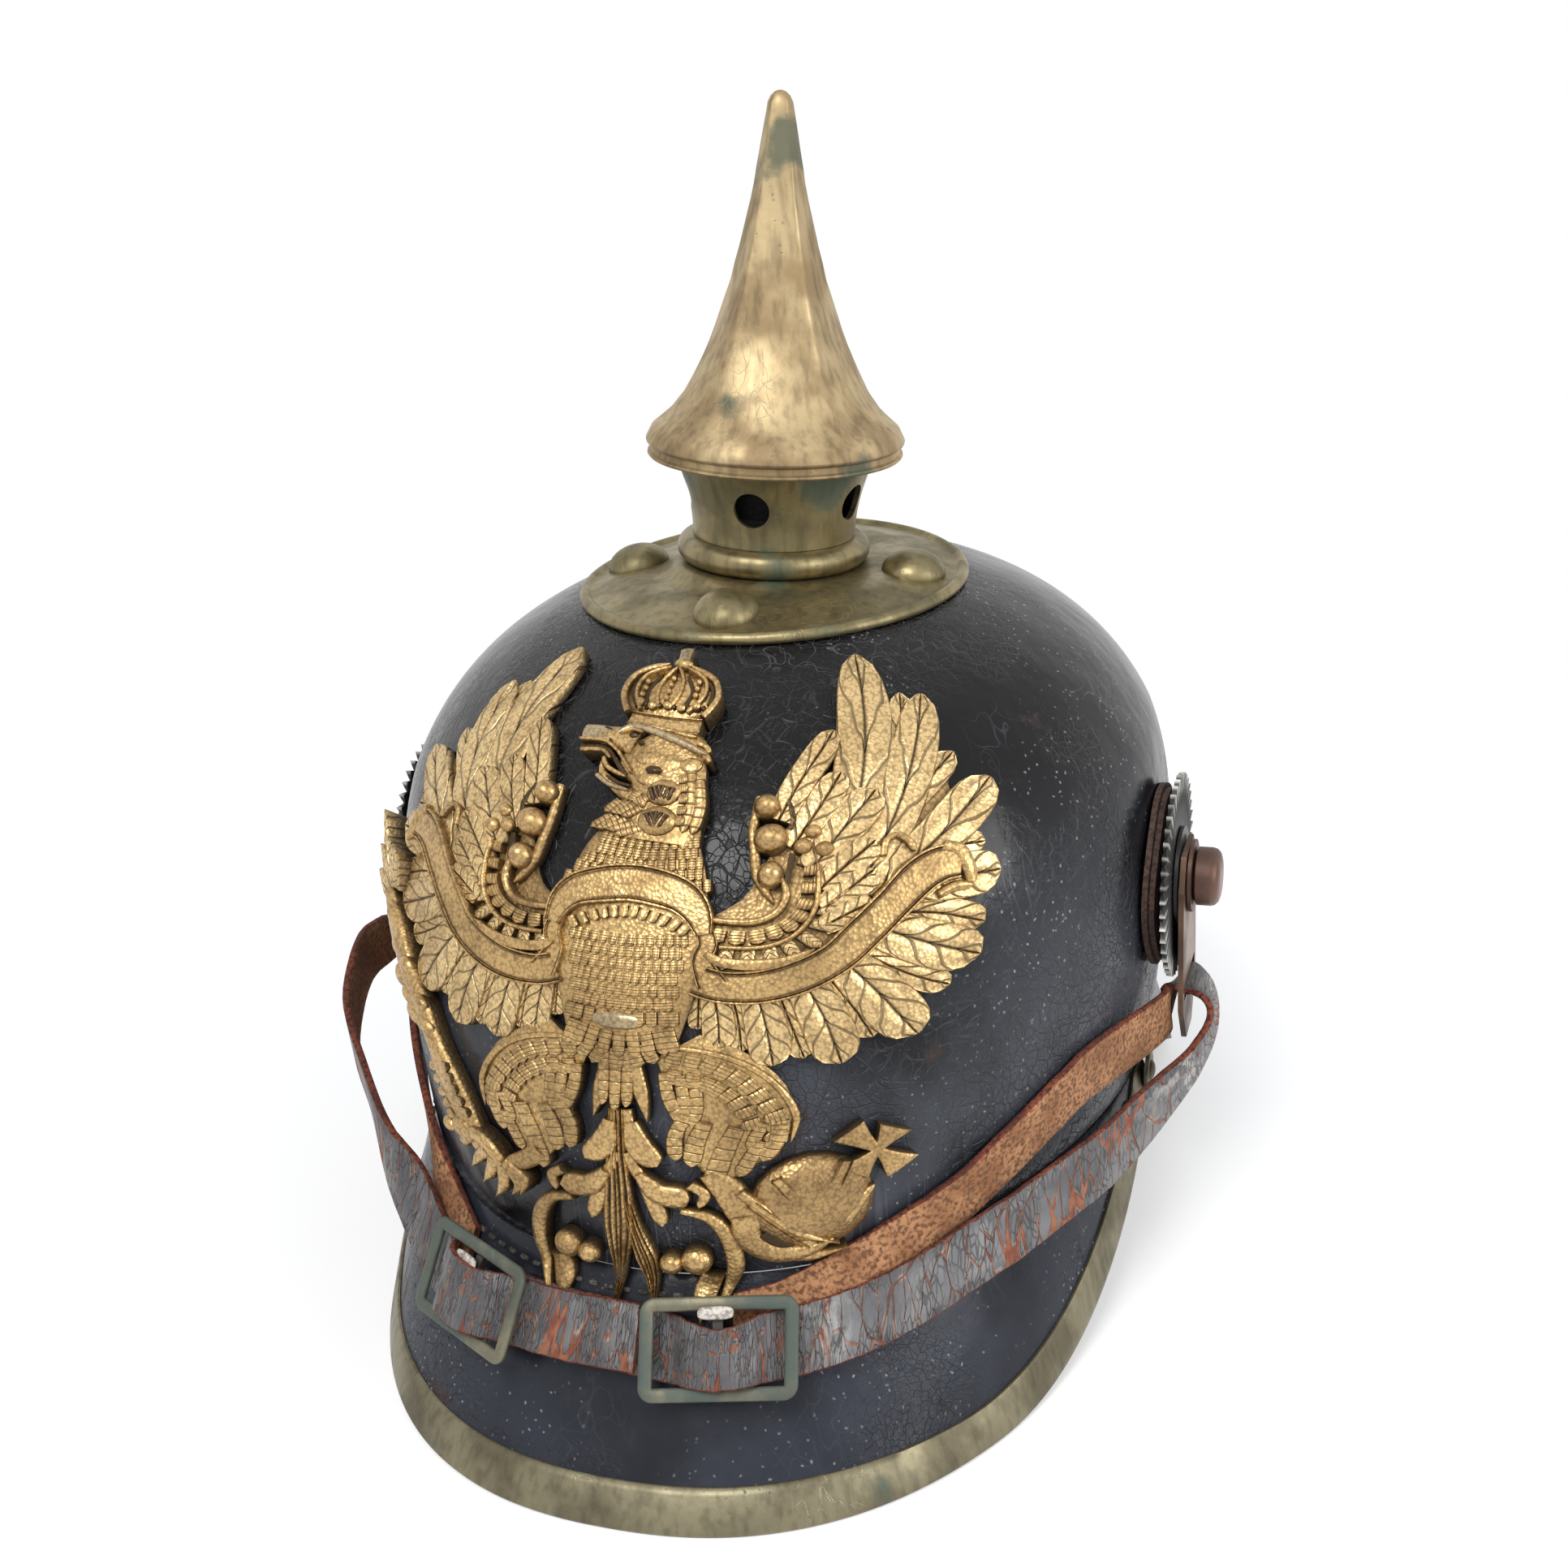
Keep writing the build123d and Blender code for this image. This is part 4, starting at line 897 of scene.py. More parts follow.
@dataclass
class LeatherBody:
    """Shell and both visors."""

    finishes: Finishes
    wall: float = 2.5 * MM
    visor_wall: float = 2.8 * MM
    hole: float = 17.0 * MM
    columns: int = 192
    bevel: float = 0.5 * MM
    visor_bevel: float = 0.4 * MM
    front_ends: Point = (-86.2, 86.2)
    rear_ends: Point = (101.0, 259.0)
    rear_shift: float = -0.9 * MM
    stitch_rows: tuple[Point, ...] = ((0.0, 80.0), (180.0, 70.0))
    stitch_length: float = 3.0 * MM
    stitch_gap: float = 1.7 * MM
    stitch_radius: float = 0.55 * MM
    stitch_drop: float = 3.4 * MM

    def build_shell(self) -> None:
        """Builds the shell."""
        top = math.asin(HULL.crown_share) / (math.pi / 2)
        rows, dome = 64, 58

        def place(around: float, up: float) -> Vector:
            step = round(up * rows)
            edge = HULL.risen(360 * around, top * min(step, dome) / dome)
            if step <= dome:
                return edge
            share = (step - dome) / (rows - dome)
            flat = Vector((edge.x, edge.y, 0))
            return flat * mix(1, self.hole / flat.length, share) + Vector((0, 0, edge.z))

        shell = Bench.sheet("leather_shell", self.columns, rows, place, merge=True)
        Bench.wall(shell, self.wall)
        Bench.soften(shell, self.bevel)
        Bench.dress(shell, 35, self.finishes.shell)
        Bench.hand_over(shell, "helmet", "lacquered_leather", "shell")

    def visor(self, name: str, node: str, edge: EdgeCurve, ends: Point, shift: float) -> None:
        """Builds one visor.

        Args:
            name: name of the piece.
            node: node that it stands for.
            edge: its lower edge.
            ends: first and last angle in degrees.
            shift: how far the edge is moved up.
        """
        columns, rows = 150, 18
        depth = [edge.meet(HULL, mix(*ends, i / columns), 0.0, shift) for i in range(columns + 1)]

        def place(around: float, up: float) -> Vector:
            return HULL.point(mix(*ends, around), depth[round(around * columns)] * (1 - up))

        piece = Bench.sheet(name, columns, rows, place)
        Bench.wall(piece, self.visor_wall)
        Bench.soften(piece, self.visor_bevel)
        Bench.dress(piece, 35, self.finishes.visor)
        Bench.hand_over(piece, "helmet", "visor_leather", node)

    def build_stitches(self) -> None:
        """Row of thread stitches under the shell's lower edge, on both visors."""
        step = math.degrees((self.stitch_length + self.stitch_gap) / HULL.front)
        stitches = []
        for middle, reach in self.stitch_rows:
            for i in range(int(2 * reach / step)):
                angle = middle - reach + step * (i + 0.5)
                start, end = (HULL.point(angle + turn * step * 0.3, -self.stitch_drop, 0.1 * MM) for turn in (-1, 1))
                seat = Matrix.Translation((start + end) / 2) @ upright_to(end - start)
                half, radius = (end - start).length / 2, self.stitch_radius
                ends = ((0.0, -1.0), (0.7, -0.9), (1.0, -0.6), (1.0, 0.6), (0.7, 0.9), (0.0, 1.0))
                stitches.append(Bench.turned("stitch", [(radius * r, half * z) for r, z in ends], seat, 8))
        thread = Bench.join("visor_stitches", stitches)
        Bench.dress(thread, 60, self.finishes.thread)
        Bench.hand_over(thread, "helmet", "lace_cord")

    def build(self) -> None:
        """Builds the leather pieces."""
        self.build_shell()
        self.visor("peak_leather", "front_visor", FRONT_EDGE, self.front_ends, 0.0)
        self.visor("neck_guard_leather", "rear_visor", REAR_EDGE, self.rear_ends, self.rear_shift)
        self.build_stitches()


@dataclass
class VisorTrim:
    """Brass band folded round the front visor's edge, with its end tabs and rivets."""

    finishes: Finishes
    sheet: float = 0.9 * MM
    wall: float = 2.8 * MM
    reach: float = 85.6
    band_up: float = 6.8 * MM
    band_forward: float = -5.0 * MM
    tab_radius: float = 4.6 * MM
    tab_y: float = -9.5 * MM
    tab_z: float = -2.4 * MM
    rivet_radius: float = 2.3 * MM
    rivet_height: float = 1.1 * MM

    def build(self) -> None:
        """Builds the band, its tabs and its rivets."""
        s, w = self.sheet, self.wall
        section = ((1.0, 0.1 * s), (1.0, 0.7 * s), (0.85, s), (0.1, s), (-0.05, 0.75 * s), (-0.13, 0.0),
                   (-0.15, -0.5 * w), (-0.13, -w), (-0.05, -w - 0.75 * s), (0.1, -w - s), (0.9, -w - s),
                   (1.0, -w - 0.4 * s), (1.0, -w), (0.2, -w), (0.1, -0.5 * w), (0.2, 0.0), (1.0, 0.1 * s))
        columns, rows, reach = 160, len(section) - 1, self.reach
        edges = []
        for i in range(columns + 1):
            angle = mix(-reach, reach, i / columns)
            low = FRONT_EDGE.meet(HULL, angle)
            edges.append((low, max(low + 1.5 * MM, FRONT_EDGE.meet(HULL, angle, self.band_forward, self.band_up))))

        def place(around: float, turn: float) -> Vector:
            up, off = section[round(turn * rows)]
            low, high = edges[round(around * columns)]
            return HULL.point(mix(-reach, reach, around), mix(low, high, up), off)

        band = Bench.sheet("peak_trim_band", columns, rows, place, merge=True)
        Bench.close(band)
        Bench.smooth(band, 50)
        pieces = [band]
        for side in (-1, 1):
            x = side * (HULL.sizes(self.tab_z - self.tab_radius)[0] + 0.1 * MM)
            seat = Matrix.Translation((x, self.tab_y, self.tab_z)) @ Matrix.Rotation(side * math.pi / 2, 4, "Y")
            r, t = self.tab_radius, self.sheet
            pieces.append(Bench.turned("tab", [(0, 0), (r, 0), (r, 0.6 * t), (0.94 * r, t), (0, t)], seat, 40))
            r, high = self.rivet_radius, self.rivet_height
            dome = [(r * math.cos(a), t + high * math.sin(a)) for a in (0, 0.3, 0.6, 0.9, 1.2, 1.45)]
            pieces.append(Bench.turned("rivet", [(0, t), *dome, (0, t + high)], seat, 24))
        trim = Bench.join("peak_trim", pieces)
        trim.data.materials.append(self.finishes.trim)
        Bench.hand_over(trim, "helmet", "aged_brass", "front_visor_trim", "trim_rivets")


@dataclass
class TopFitting:
    """Base plate with its studs, bead, vented neck and the spike."""

    finishes: Finishes
    lean: float = 4.3
    lean_back: float = 2.2
    plate_radius: float = 44.4 * MM
    plate_sheet: float = 1.1 * MM
    plate_wall: float = 0.9 * MM
    play: float = 0.1 * MM
    bead: float = 1.2 * MM
    cove_radius: float = 27.0 * MM
    cove_height: float = 1.3 * MM
    ring_radius: float = 21.8 * MM
    ring_height: float = 6.0 * MM
    ring_bore: float = 16.4 * MM
    neck_height: float = 17.6 * MM
    neck_foot: float = 18.3 * MM
    neck_top: float = 22.4 * MM
    neck_wall: float = 1.3 * MM
    flare: float = 1.9
    vent_radius: float = 4.0 * MM
    vent_height: float = 9.2 * MM
    vent_depth: float = 18.0 * MM
    vent_angles: tuple[float, ...] = (3, 80, 150, 222, 292)
    stud_circle: float = 33.0 * MM
    stud_radius: float = 7.2 * MM
    stud_height: float = 4.6 * MM
    stud_foot: float = 0.8 * MM
    flange_play: float = 0.3 * MM
    flange_depth: float = 3.6 * MM
    flange_bore: float = 13.0 * MM
    ridge_radius: float = 28.8 * MM
    spike_height: float = 73.4 * MM
    stem_radius: float = 13.8 * MM
    stem_length: float = 24.0 * MM
    stem_wall: float = 1.2 * MM
    stem_shade: float = 22.0 * MM
    facets: int = 5
    facet_turn: float = 32.0
    spike_heights: tuple[float, ...] = (
        0.0, 0.033, 0.057, 0.082, 0.131, 0.179, 0.228, 0.275, 0.323, 0.370, 0.417, 0.464, 0.511, 0.558, 0.604,
        0.650, 0.695, 0.740, 0.785, 0.830, 0.875, 0.91, 0.945)
    spike_radii: tuple[float, ...] = (
        1.0, 0.958, 0.886, 0.816, 0.722, 0.656, 0.592, 0.535, 0.485, 0.444, 0.403, 0.361, 0.333, 0.299, 0.271,
        0.243, 0.215, 0.191, 0.174, 0.153, 0.134, 0.119, 0.104)
    seat: Matrix = field(default_factory=Matrix)

    def __post_init__(self) -> None:
        """Works out where the leaning unit stands."""
        turn = Matrix.Rotation(math.radians(-self.lean_back), 4, "X") @ Matrix.Rotation(math.radians(self.lean), 4, "Y")
        self.seat = Matrix.Translation((0, 0, HULL.crown_share * HULL.height)) @ turn

    @property
    def ring_base(self) -> float:
        """Height of the bead's foot over the crown."""
        return self.plate_sheet + self.cove_height + self.play

    @property
    def neck_base(self) -> float:
        """Height of the neck's foot over the crown."""
        return self.ring_base + self.ring_height + self.play

    def build_plate(self) -> None:
        """Builds the round base plate, with its rolled rim and the cove up to the bead."""
        r, b = self.plate_radius, self.bead
        radii = [radius * MM for radius in (17.0, 21.0, 22.2, 23.2, 24.4, 25.8, 27.0, 30.0, 33.0, 36.0, 39.0)]
        radii.append(r - 2.6 * b)
        rim = [(r - b + b * math.cos(a), b + b * math.sin(a)) for a in (2.9, 2.4, 1.9, 1.4, 0.9, 0.4, -0.2, -0.8)]
        lift = self.cove_height + self.plate_sheet
        rows = len(radii) + len(rim) - 1

        def place(around: float, inwards: float) -> Vector:
            step = rows - round(inwards * rows)
            radius, over = (radii[step], self.plate_sheet) if step < len(radii) else rim[step - len(radii)]
            sine, cosine = math.sin(TURN * around), math.cos(TURN * around)
            x, y = radius * sine, -radius * cosine
            z = HULL.height_over(x, y) + over
            share = clamp((self.cove_radius - radius) / (self.cove_radius - self.ring_radius))
            top = (self.seat @ Vector((x, y, lift))).z
            return Vector((x, y, mix(z, max(z, top), share * share)))

        plate = Bench.sheet("base_plate_brass", 128, rows, place, merge=True)
        Bench.wall(plate, self.plate_wall)
        Bench.dress(plate, 60, self.finishes.plate)
        Bench.hand_over(plate, "helmet", "aged_brass", "base_plate")

    def build_studs(self) -> None:
        """Builds the four domed studs, each square to the crown under it."""
        studs = []
        for i in range(4):
            angle = TURN * i / 4
            x, y = self.stud_circle * math.sin(angle), -self.stud_circle * math.cos(angle)
            r = self.stud_radius
            spots = [Vector((x + a, y + b, HULL.height_over(x + a, y + b, self.plate_sheet)))
                     for a, b in ((r, 0), (-r, 0), (0, r), (0, -r))]
            normal = (spots[0] - spots[1]).cross(spots[2] - spots[3]).normalized()
            foot = sum(spots, Vector()) / 4
            seat = Matrix.Translation(foot) @ upright_to(normal)
            arc = (math.pi / 2 * k / 9 for k in range(10))
            profile = [(0, -self.stud_foot), (r, -self.stud_foot)] + [
                (r * math.cos(a) ** 0.9, self.stud_height * math.sin(a) ** 1.15) for a in arc]
            studs.append(Bench.turned("stud", profile, seat, 48))
        piece = Bench.join("plate_studs", studs)
        Bench.dress(piece, 50, self.finishes.plate)
        Bench.hand_over(piece, "helmet", "aged_brass", "base_studs")

    def build_neck(self) -> None:
        """Builds the bead and the vented neck."""
        half = self.ring_height / 2
        bulge = self.ring_radius - half
        seat = self.seat @ Matrix.Translation((0, 0, self.ring_base))
        bore, turns = self.ring_bore, [TURN / 4 * k / 7 for k in range(-7, 8)]
        arc = [(bulge + half * math.cos(a), half + half * math.sin(a)) for a in turns]
        ring = Bench.turned("neck_bead", [(bore, 0.0), *arc, (bore, self.ring_height)], seat)
        Bench.dress(ring, 50, self.finishes.plate)
        Bench.hand_over(ring, "helmet", "aged_brass", "collar_ring")
        seat = self.seat @ Matrix.Translation((0, 0, self.neck_base))
        foot, top, h, wall = self.neck_foot, self.neck_top, self.neck_height, self.neck_wall
        outer = [(mix(foot, top, s ** self.flare), h * s) for s in (k / 14 for k in range(15))]
        inner = [(r - wall, z) for r, z in reversed(outer)]
        start = (foot - wall, 0.0)
        neck = Bench.turned("neck_tube", [start, (foot, 0.0), *outer[1:], *inner[:-1], start], seat)
        for angle in self.vent_angles:
            way = Vector((math.sin(math.radians(angle)), -math.cos(math.radians(angle)), 0))
            place = seat @ Matrix.Translation(way * self.neck_top + Vector((0, 0, self.vent_height))) @ upright_to(way)
            Bench.clear()
            bpy.ops.mesh.primitive_cylinder_add(vertices=40, radius=self.vent_radius, depth=self.vent_depth)
            cutter = bpy.context.object
            cutter.data.transform(place)
            Bench.modify(neck, "BOOLEAN", operation="DIFFERENCE", solver="EXACT", object=cutter)
            bpy.data.objects.remove(cutter)
        Bench.dress(neck, 40, self.finishes.plate, self.finishes.soot)
        # Painted shade: the faces inside the neck turn near black.
        Bench.hide(neck, seat, lambda radius, z: radius < mix(foot, top, clamp(z / h) ** self.flare) - 0.6 * wall)
        Bench.hand_over(neck, "helmet", "aged_brass", "vented_neck")

    def build_spike(self) -> None:
        """Builds the fluted spike with its flange."""
        ridge = self.neck_base + self.neck_height + self.flange_play + self.flange_depth
        seat = self.seat @ Matrix.Translation((0, 0, ridge))
        d, r = self.flange_depth, self.ridge_radius
        tip = self.spike_radii[-1] * r
        body = [(r * a, self.spike_height * h) for a, h in zip(self.spike_radii, self.spike_heights)]
        last = body[-1][1]
        nose = [(tip * math.cos(a), last + (self.spike_height - last) * math.sin(a)) for a in (0.4, 0.8, 1.15, 1.4)]
        rim = ((1.3, 1.0), (0.6, 0.98), (0.3, 0.88), (0.4, 0.76), (1.0, 0.68), (1.1, 0.34), (0.5, 0.24), (0.1, 0.14),
               (0.0, 0.05))
        flange = [(self.flange_bore, -d), (24.0 * MM, -d)] + [(r - inset * MM, -share * d) for inset, share in rim]
        profile = flange + body + nose + [(0.0, self.spike_height)]
        rows, steps = len(profile) - 1, 120

        def place(around: float, up: float) -> Vector:
            radius, height = profile[round(up * rows)]
            turn = TURN * around
            sector = TURN / self.facets
            local = (turn - math.radians(self.facet_turn)) % sector - sector / 2
            flat = math.cos(sector / 2) / math.cos(local)
            share = height / self.spike_height
            amount = 0.7 * clamp((share - 0.04) / 0.30) * clamp((1 - share) / 0.08)
            radius *= mix(1.0, flat * 1.09, amount)
            return seat @ Vector((radius * math.cos(turn), radius * math.sin(turn), height))

        cone = Bench.sheet("cone", steps, rows, place, merge=True)
        bore, stem, low = self.stem_radius - self.stem_wall, self.stem_radius, -d - self.stem_length
        stem_piece = Bench.turned("stem", [(bore, -d), (bore, low), (stem, low), (stem, -d), (bore, -d)], seat, 64)
        web = Bench.turned("web", [(0.0, -d), (self.flange_bore, -d)], seat, 64)
        spike = Bench.join("spike_brass", [cone, web])
        Bench.merge(spike, 0.02 * MM)
        spike = Bench.join("spike_brass", [spike, stem_piece])
        Bench.dress(spike, 40, self.finishes.spike, self.finishes.soot)
        # Painted shade: the faces under the flange, inside the stem, turn near black.
        Bench.hide(spike, seat, lambda radius, z: z < -0.99 * d and radius < self.stem_shade)
        Bench.hand_over(spike, "spike", "aged_brass", "spike")

    def build(self) -> None:
        """Builds the fitting from the plate up."""
        self.build_plate()
        self.build_studs()
        self.build_neck()
        self.build_spike()


class Section(Enum):
    """Half cross sections of raised strips, from the edge to the middle: place, share of the crown, darkness of painted
    shade.
    """

    FEATHER = ((1.0, 0.3, 0.45), (0.93, 0.8, 0.0), (0.78, 0.6, 0.3), (0.45, 0.95, 0.0), (0.13, 1.0, 0.0),
               (0.0, 0.25, 1.0))
    TUFT = ((1.0, 0.1, 0.6), (0.78, 0.7, 0.0), (0.4, 0.95, 0.0), (0.0, 1.0, 0.0))
    ROUND = ((1.0, 0.0, 0.5), (0.92, 0.4, 0.15), (0.7, 0.71, 0.0), (0.38, 0.92, 0.0), (0.0, 1.0, 0.0))
    RIMMED = ((1.0, 0.6, 0.3), (0.95, 1.0, 0.0), (0.88, 0.95, 0.0), (0.83, 0.2, 1.0), (0.77, 0.75, 0.0),
              (0.71, 0.0, 0.8), (0.55, 0.0, 0.1), (0.0, 0.05, 0.0))
    FLUTED = ((1.0, 0.2, 0.6), (0.8, 0.8, 0.0), (0.6, 0.2, 1.0), (0.36, 1.0, 0.0), (0.14, 0.35, 1.0), (0.0, 0.9, 0.0))
    FLAT = ((1.0, 0.0, 0.7), (0.85, 0.0, 0.3), (0.0, 0.02, 0.1))

    @property
    def profile(self) -> list[Triple]:
        """Whole cross section, from one edge to the other."""
        return [(-u, rise, dark) for u, rise, dark in self.value] + list(self.value[-2::-1])


class Tip(Enum):
    """How a strip ends."""

    BLUNT = 1
    ROUND = 2
    POINTED = 3


@dataclass
class Eagle:
    """Crowned eagle of the front plate. Its drawing plane is measured in pixels of the unrolled photograph:
    ten to a degree across, and 1511.6 to a quarter turn up the shell."""

    finishes: Finishes
    middle: float = 745.0
    per_degree: float = 10.0
    zero_x: float = 750.0
    zero_y: float = 1209.3
    per_quarter: float = 1511.6
    base: float = 0.3 * MM
    tiles: list[Piece] = field(default_factory=list)

    def place(self, x: float, y: float, lift: float) -> Vector:
        """Point of the drawing on the shell, lifted off it by a distance in millimetres."""
        rise = (self.zero_y - y) / self.per_quarter
        z = HULL.height * math.sin(rise * math.pi / 2)
        drawn = HULL.upright_width(z) * math.sin(math.radians((x - self.zero_x) / self.per_degree))
        angle = math.degrees(math.asin(max(-1.0, min(1.0, drawn / HULL.sizes(z)[0]))))
        return HULL.risen(angle, rise, self.base + lift * MM)

    def mirror(self, points: Sequence[Point]) -> list[Point]:
        """Points on the left of the eagle's middle line. Its raised left wing leans in a little."""
        return [(self.middle - (x - self.middle) * (1 - 0.13 * clamp((420 - y) / 300) ** 0.8), y) for x, y in points]

    @staticmethod
    def heading(xs: Sequence[float], ys: Sequence[float], t: float) -> Vector:
        """Direction of a curve at a share of its length."""
        return Vector([along(line, min(1, t + 0.02)) - along(line, max(0, t - 0.02)) for line in (xs, ys)]).normalized()

    def strip(self, points: Sequence[Point], widths: Sequence[float], lifts: Point | float, crown: float = 0.5,
              section: Section = Section.ROUND, tip: Tip = Tip.ROUND, rows: int = 12, finish: str = "gilt") -> None:
        """Raised strip along a curve of the drawing.

        Args:
            points: the curve, from its root to its tip.
            widths: half widths along it.
            lifts: heights at its root and tip in millimetres, or one height where it lies level.
            crown: extra height given by the cross section.
            section: how it is shaped across.
            tip: how it ends.
            rows: faces along.
            finish: name of its finish.
        """
        profile = section.profile
        columns = len(profile) + 1
        low, high = lifts if isinstance(lifts, tuple) else (lifts, lifts)
        (xs, ys), shade_levels = zip(*points), []

        def place(across: float, run: float) -> Vector:
            i, j = round(across * columns), round(run * rows)
            wall = i in (0, columns) or j in (0, rows)
            u, rise, dark = profile[min(max(i - 1, 0), columns - 2)]
            t = clamp((j - 1) / (rows - 2))
            way = self.heading(xs, ys, t)
            half = along(widths, t)
            if tip is Tip.ROUND and t > 0.75:
                half *= math.sqrt(max(0.03, 1 - ((t - 0.75) / 0.25) ** 2))
            if tip is Tip.POINTED and t > 0.6:
                half *= max(0.05, 1 - ((t - 0.6) / 0.4) ** 1.3)
            # Painted shade: walls and ends darkest, the section's dark places darker.
            shade_levels.append(1.0 if wall else max(dark, 0.4 * (j in (1, rows - 1))))
            x, y = along(xs, t) - way.y * u * half, along(ys, t) + way.x * u * half
            return self.place(x, y, 0.0 if wall else mix(low, high, t) + crown * rise)

        self.seal(Bench.sheet("tile", columns, rows, place), shade_levels, finish)

    def dome(self, centre: Point, radii: Point, lift: float, height: float, finish: str = "gilt") -> None:
        """Round boss on the drawing.

        Args:
            centre: its centre.
            radii: its half sizes across and up.
            lift: height of its rim, in millimetres.
            height: height of its middle over the rim.
            finish: name of its finish.
        """
        steps, rows = 20, 7
        shade_levels = []

        def place(around: float, inwards: float) -> Vector:
            j = round(inwards * rows)
            share = clamp((j - 1) / (rows - 1))
            radius = math.cos(share * math.pi / 2)
            x = centre[0] + radii[0] * radius * math.cos(TURN * around)
            y = centre[1] - radii[1] * radius * math.sin(TURN * around)
            # Painted shade round the foot of the boss.
            shade_levels.append((1.0, 0.6, 0.15)[j] if j < 3 else 0.0)
            return self.place(x, y, 0.0 if j == 0 else lift + height * math.sin(share * math.pi / 2))

        self.seal(Bench.sheet("tile", steps, rows, place), shade_levels, finish)

    def seal(self, tile: Piece, shade_levels: Sequence[float], finish: str) -> None:
        """Paints on each vertex of a tile how dark its painted shade is, darkest where it lies deep, closes its back
        and keeps it.

        Args:
            tile: the open tile.
            shade_levels: painted shade of each vertex, from 0 on top to 1 where it lies deepest.
            finish: name of its finish.
        """
        tile.data.attributes.new("recess", "FLOAT", "POINT").data.foreach_set("value", shade_levels)
        Bench.merge(tile)
        Bench.close(tile)
        tile.data.materials.append(getattr(self.finishes, finish))
        self.tiles.append(tile)

    def both(self, points: Sequence[Point], widths: Sequence[float], lifts: Point | float, crown: float = 0.5,
             **more: object) -> None:
        """Strip on both sides of the middle line."""
        self.strip(points, widths, lifts, crown, **more)
        self.strip(self.mirror(points), widths, lifts, crown, **more)

    def domes(self, spots: Sequence[tuple[float, ...]], lift: float, height: float, twin: bool = False,
              finish: str = "gilt") -> None:
        """Bosses, each given by its centre and half sizes, on one side or on both."""
        for x, y, across, up in spots:
            for centre in [(x, y)] + (self.mirror([(x, y)]) if twin else []):
                self.dome(centre, (across, up), lift, height, finish)

    def lines(self, paths: Sequence[Sequence[Point]], half: float, lift: float, finish: str = "deep",
              twin: bool = False) -> None:
        """Narrow lines: dark strips of painted shade that stand for engraved ones, or raised bright ones."""
        for path in paths:
            put = self.both if twin else self.strip
            put(path, [half] * 3, lift, crown=0.1 if finish == "deep" else 0.5, finish=finish)

    def feather(self, root: Point, bend: Point, end: Point, half: float, lifts: Point) -> None:
        """Feather on both sides: root, bend and end of its midrib, and its half width."""
        self.both([root, bend, end], [0.8 * half, half, 1.08 * half, half], lifts, crown=0.6,
                  section=Section.FEATHER, rows=14, finish="feather")

    def row(self, path: Sequence[Point], count: int, length: float, half: float, lift: float, side: int = 1,
            twin: bool = False, lean: float = 0.0, rise: float = 0.3, finish: str = "tuft") -> None:
        """Row of small tufts that stand across a curve.

        Args:
            path: the curve.
            count: how many tufts there are.
            length: how long each is.
            half: half width of each.
            lift: height of their roots, in millimetres.
            side: 1 where they lie to the right of the curve's direction and -1 to the left.
            twin: whether the row is repeated on the other side.
            lean: how far they lean along the curve, as a share of their length.
            rise: how much higher their tips are.
            finish: name of their finish.
        """
        xs, ys = zip(*path)
        put = self.both if twin else self.strip
        for i in range(count):
            t = (i + 0.5) / count
            way = self.heading(xs, ys, t)
            root = Vector((along(xs, t), along(ys, t)))
            reach = (Vector((-way.y, way.x)) * side + way * lean) * length
            put([tuple(root + reach * share) for share in (0.0, 0.5, 1.0)], [half] * 3, (lift, lift + rise), crown=0.4,
                section=Section.TUFT, rows=7, finish=finish)

    def build_wings(self) -> None:
        """Builds both wings: ground, pinions, secondaries, coverts and the bosses of the leading edge."""
        self.both([(850, 690), (960, 640), (1060, 540), (1100, 380), (1098, 180)], [66, 80, 105, 85, 36], 0.7,
                  section=Section.FLAT, rows=18)
        self.both([(850, 650), (930, 590), (960, 500), (975, 400)], [60, 60, 46, 24], 0.8, section=Section.FLAT)
        behind = (
            ((1000, 560), (1110, 420), (1206, 342), 26), ((1060, 600), (1130, 620), (1192, 660), 26),
            ((1030, 660), (1090, 715), (1138, 752), 20), ((985, 680), (1020, 750), (1042, 808), 18),
            ((930, 700), (948, 770), (962, 825), 15), ((875, 700), (885, 750), (890, 805), 13),
            ((838, 700), (838, 740), (838, 766), 12), ((1070, 570), (1150, 515), (1214, 520), 24),
            ((1050, 480), (1120, 330), (1158, 200), 24))
        for root, bend, end, half in behind:
            self.feather(root, bend, end, half, (0.9, 1.1))
        before = (
            ((1030, 560), (1110, 400), (1192, 216), 36), ((1080, 560), (1155, 566), (1223, 578), 38),
            ((1050, 570), (1150, 490), (1246, 410), 38), ((1010, 520), (1064, 320), (1102, 102), 44),
            ((1050, 620), (1110, 665), (1178, 714), 35), ((1010, 670), (1050, 735), (1093, 820), 32),
            ((960, 690), (985, 760), (1004, 842), 28), ((905, 700), (918, 765), (926, 831), 24),
            ((855, 700), (862, 750), (864, 797), 19))
        for i, (root, bend, end, half) in enumerate(before):
            self.feather(root, bend, end, half, (1.3 + 0.1 * (i % 3), 1.8 + 0.15 * (i % 2)))
        secondaries = (
            ((932, 420), (965, 350), (1022, 262), 23), ((950, 470), (985, 410), (1024, 345), 23),
            ((975, 510), (1020, 445), (1070, 386), 30), ((985, 545), (1020, 510), (1060, 476), 24),
            ((988, 580), (1020, 552), (1054, 526), 24), ((985, 610), (1020, 592), (1050, 580), 20))
        for i, (root, bend, end, half) in enumerate(secondaries):
            self.feather(root, bend, end, half, (2.0, 2.3 + 0.12 * (i % 2)))
        self.row([(852, 600), (900, 606), (938, 592), (958, 560), (966, 500)], 9, 24, 10, 2.2, 1, True)
        self.row([(862, 634), (915, 638), (960, 618), (985, 575), (1000, 545)], 9, 34, 9, 1.9, 1, True,
                 finish="feather")
        edge = dict(crown=0.9, rows=22)
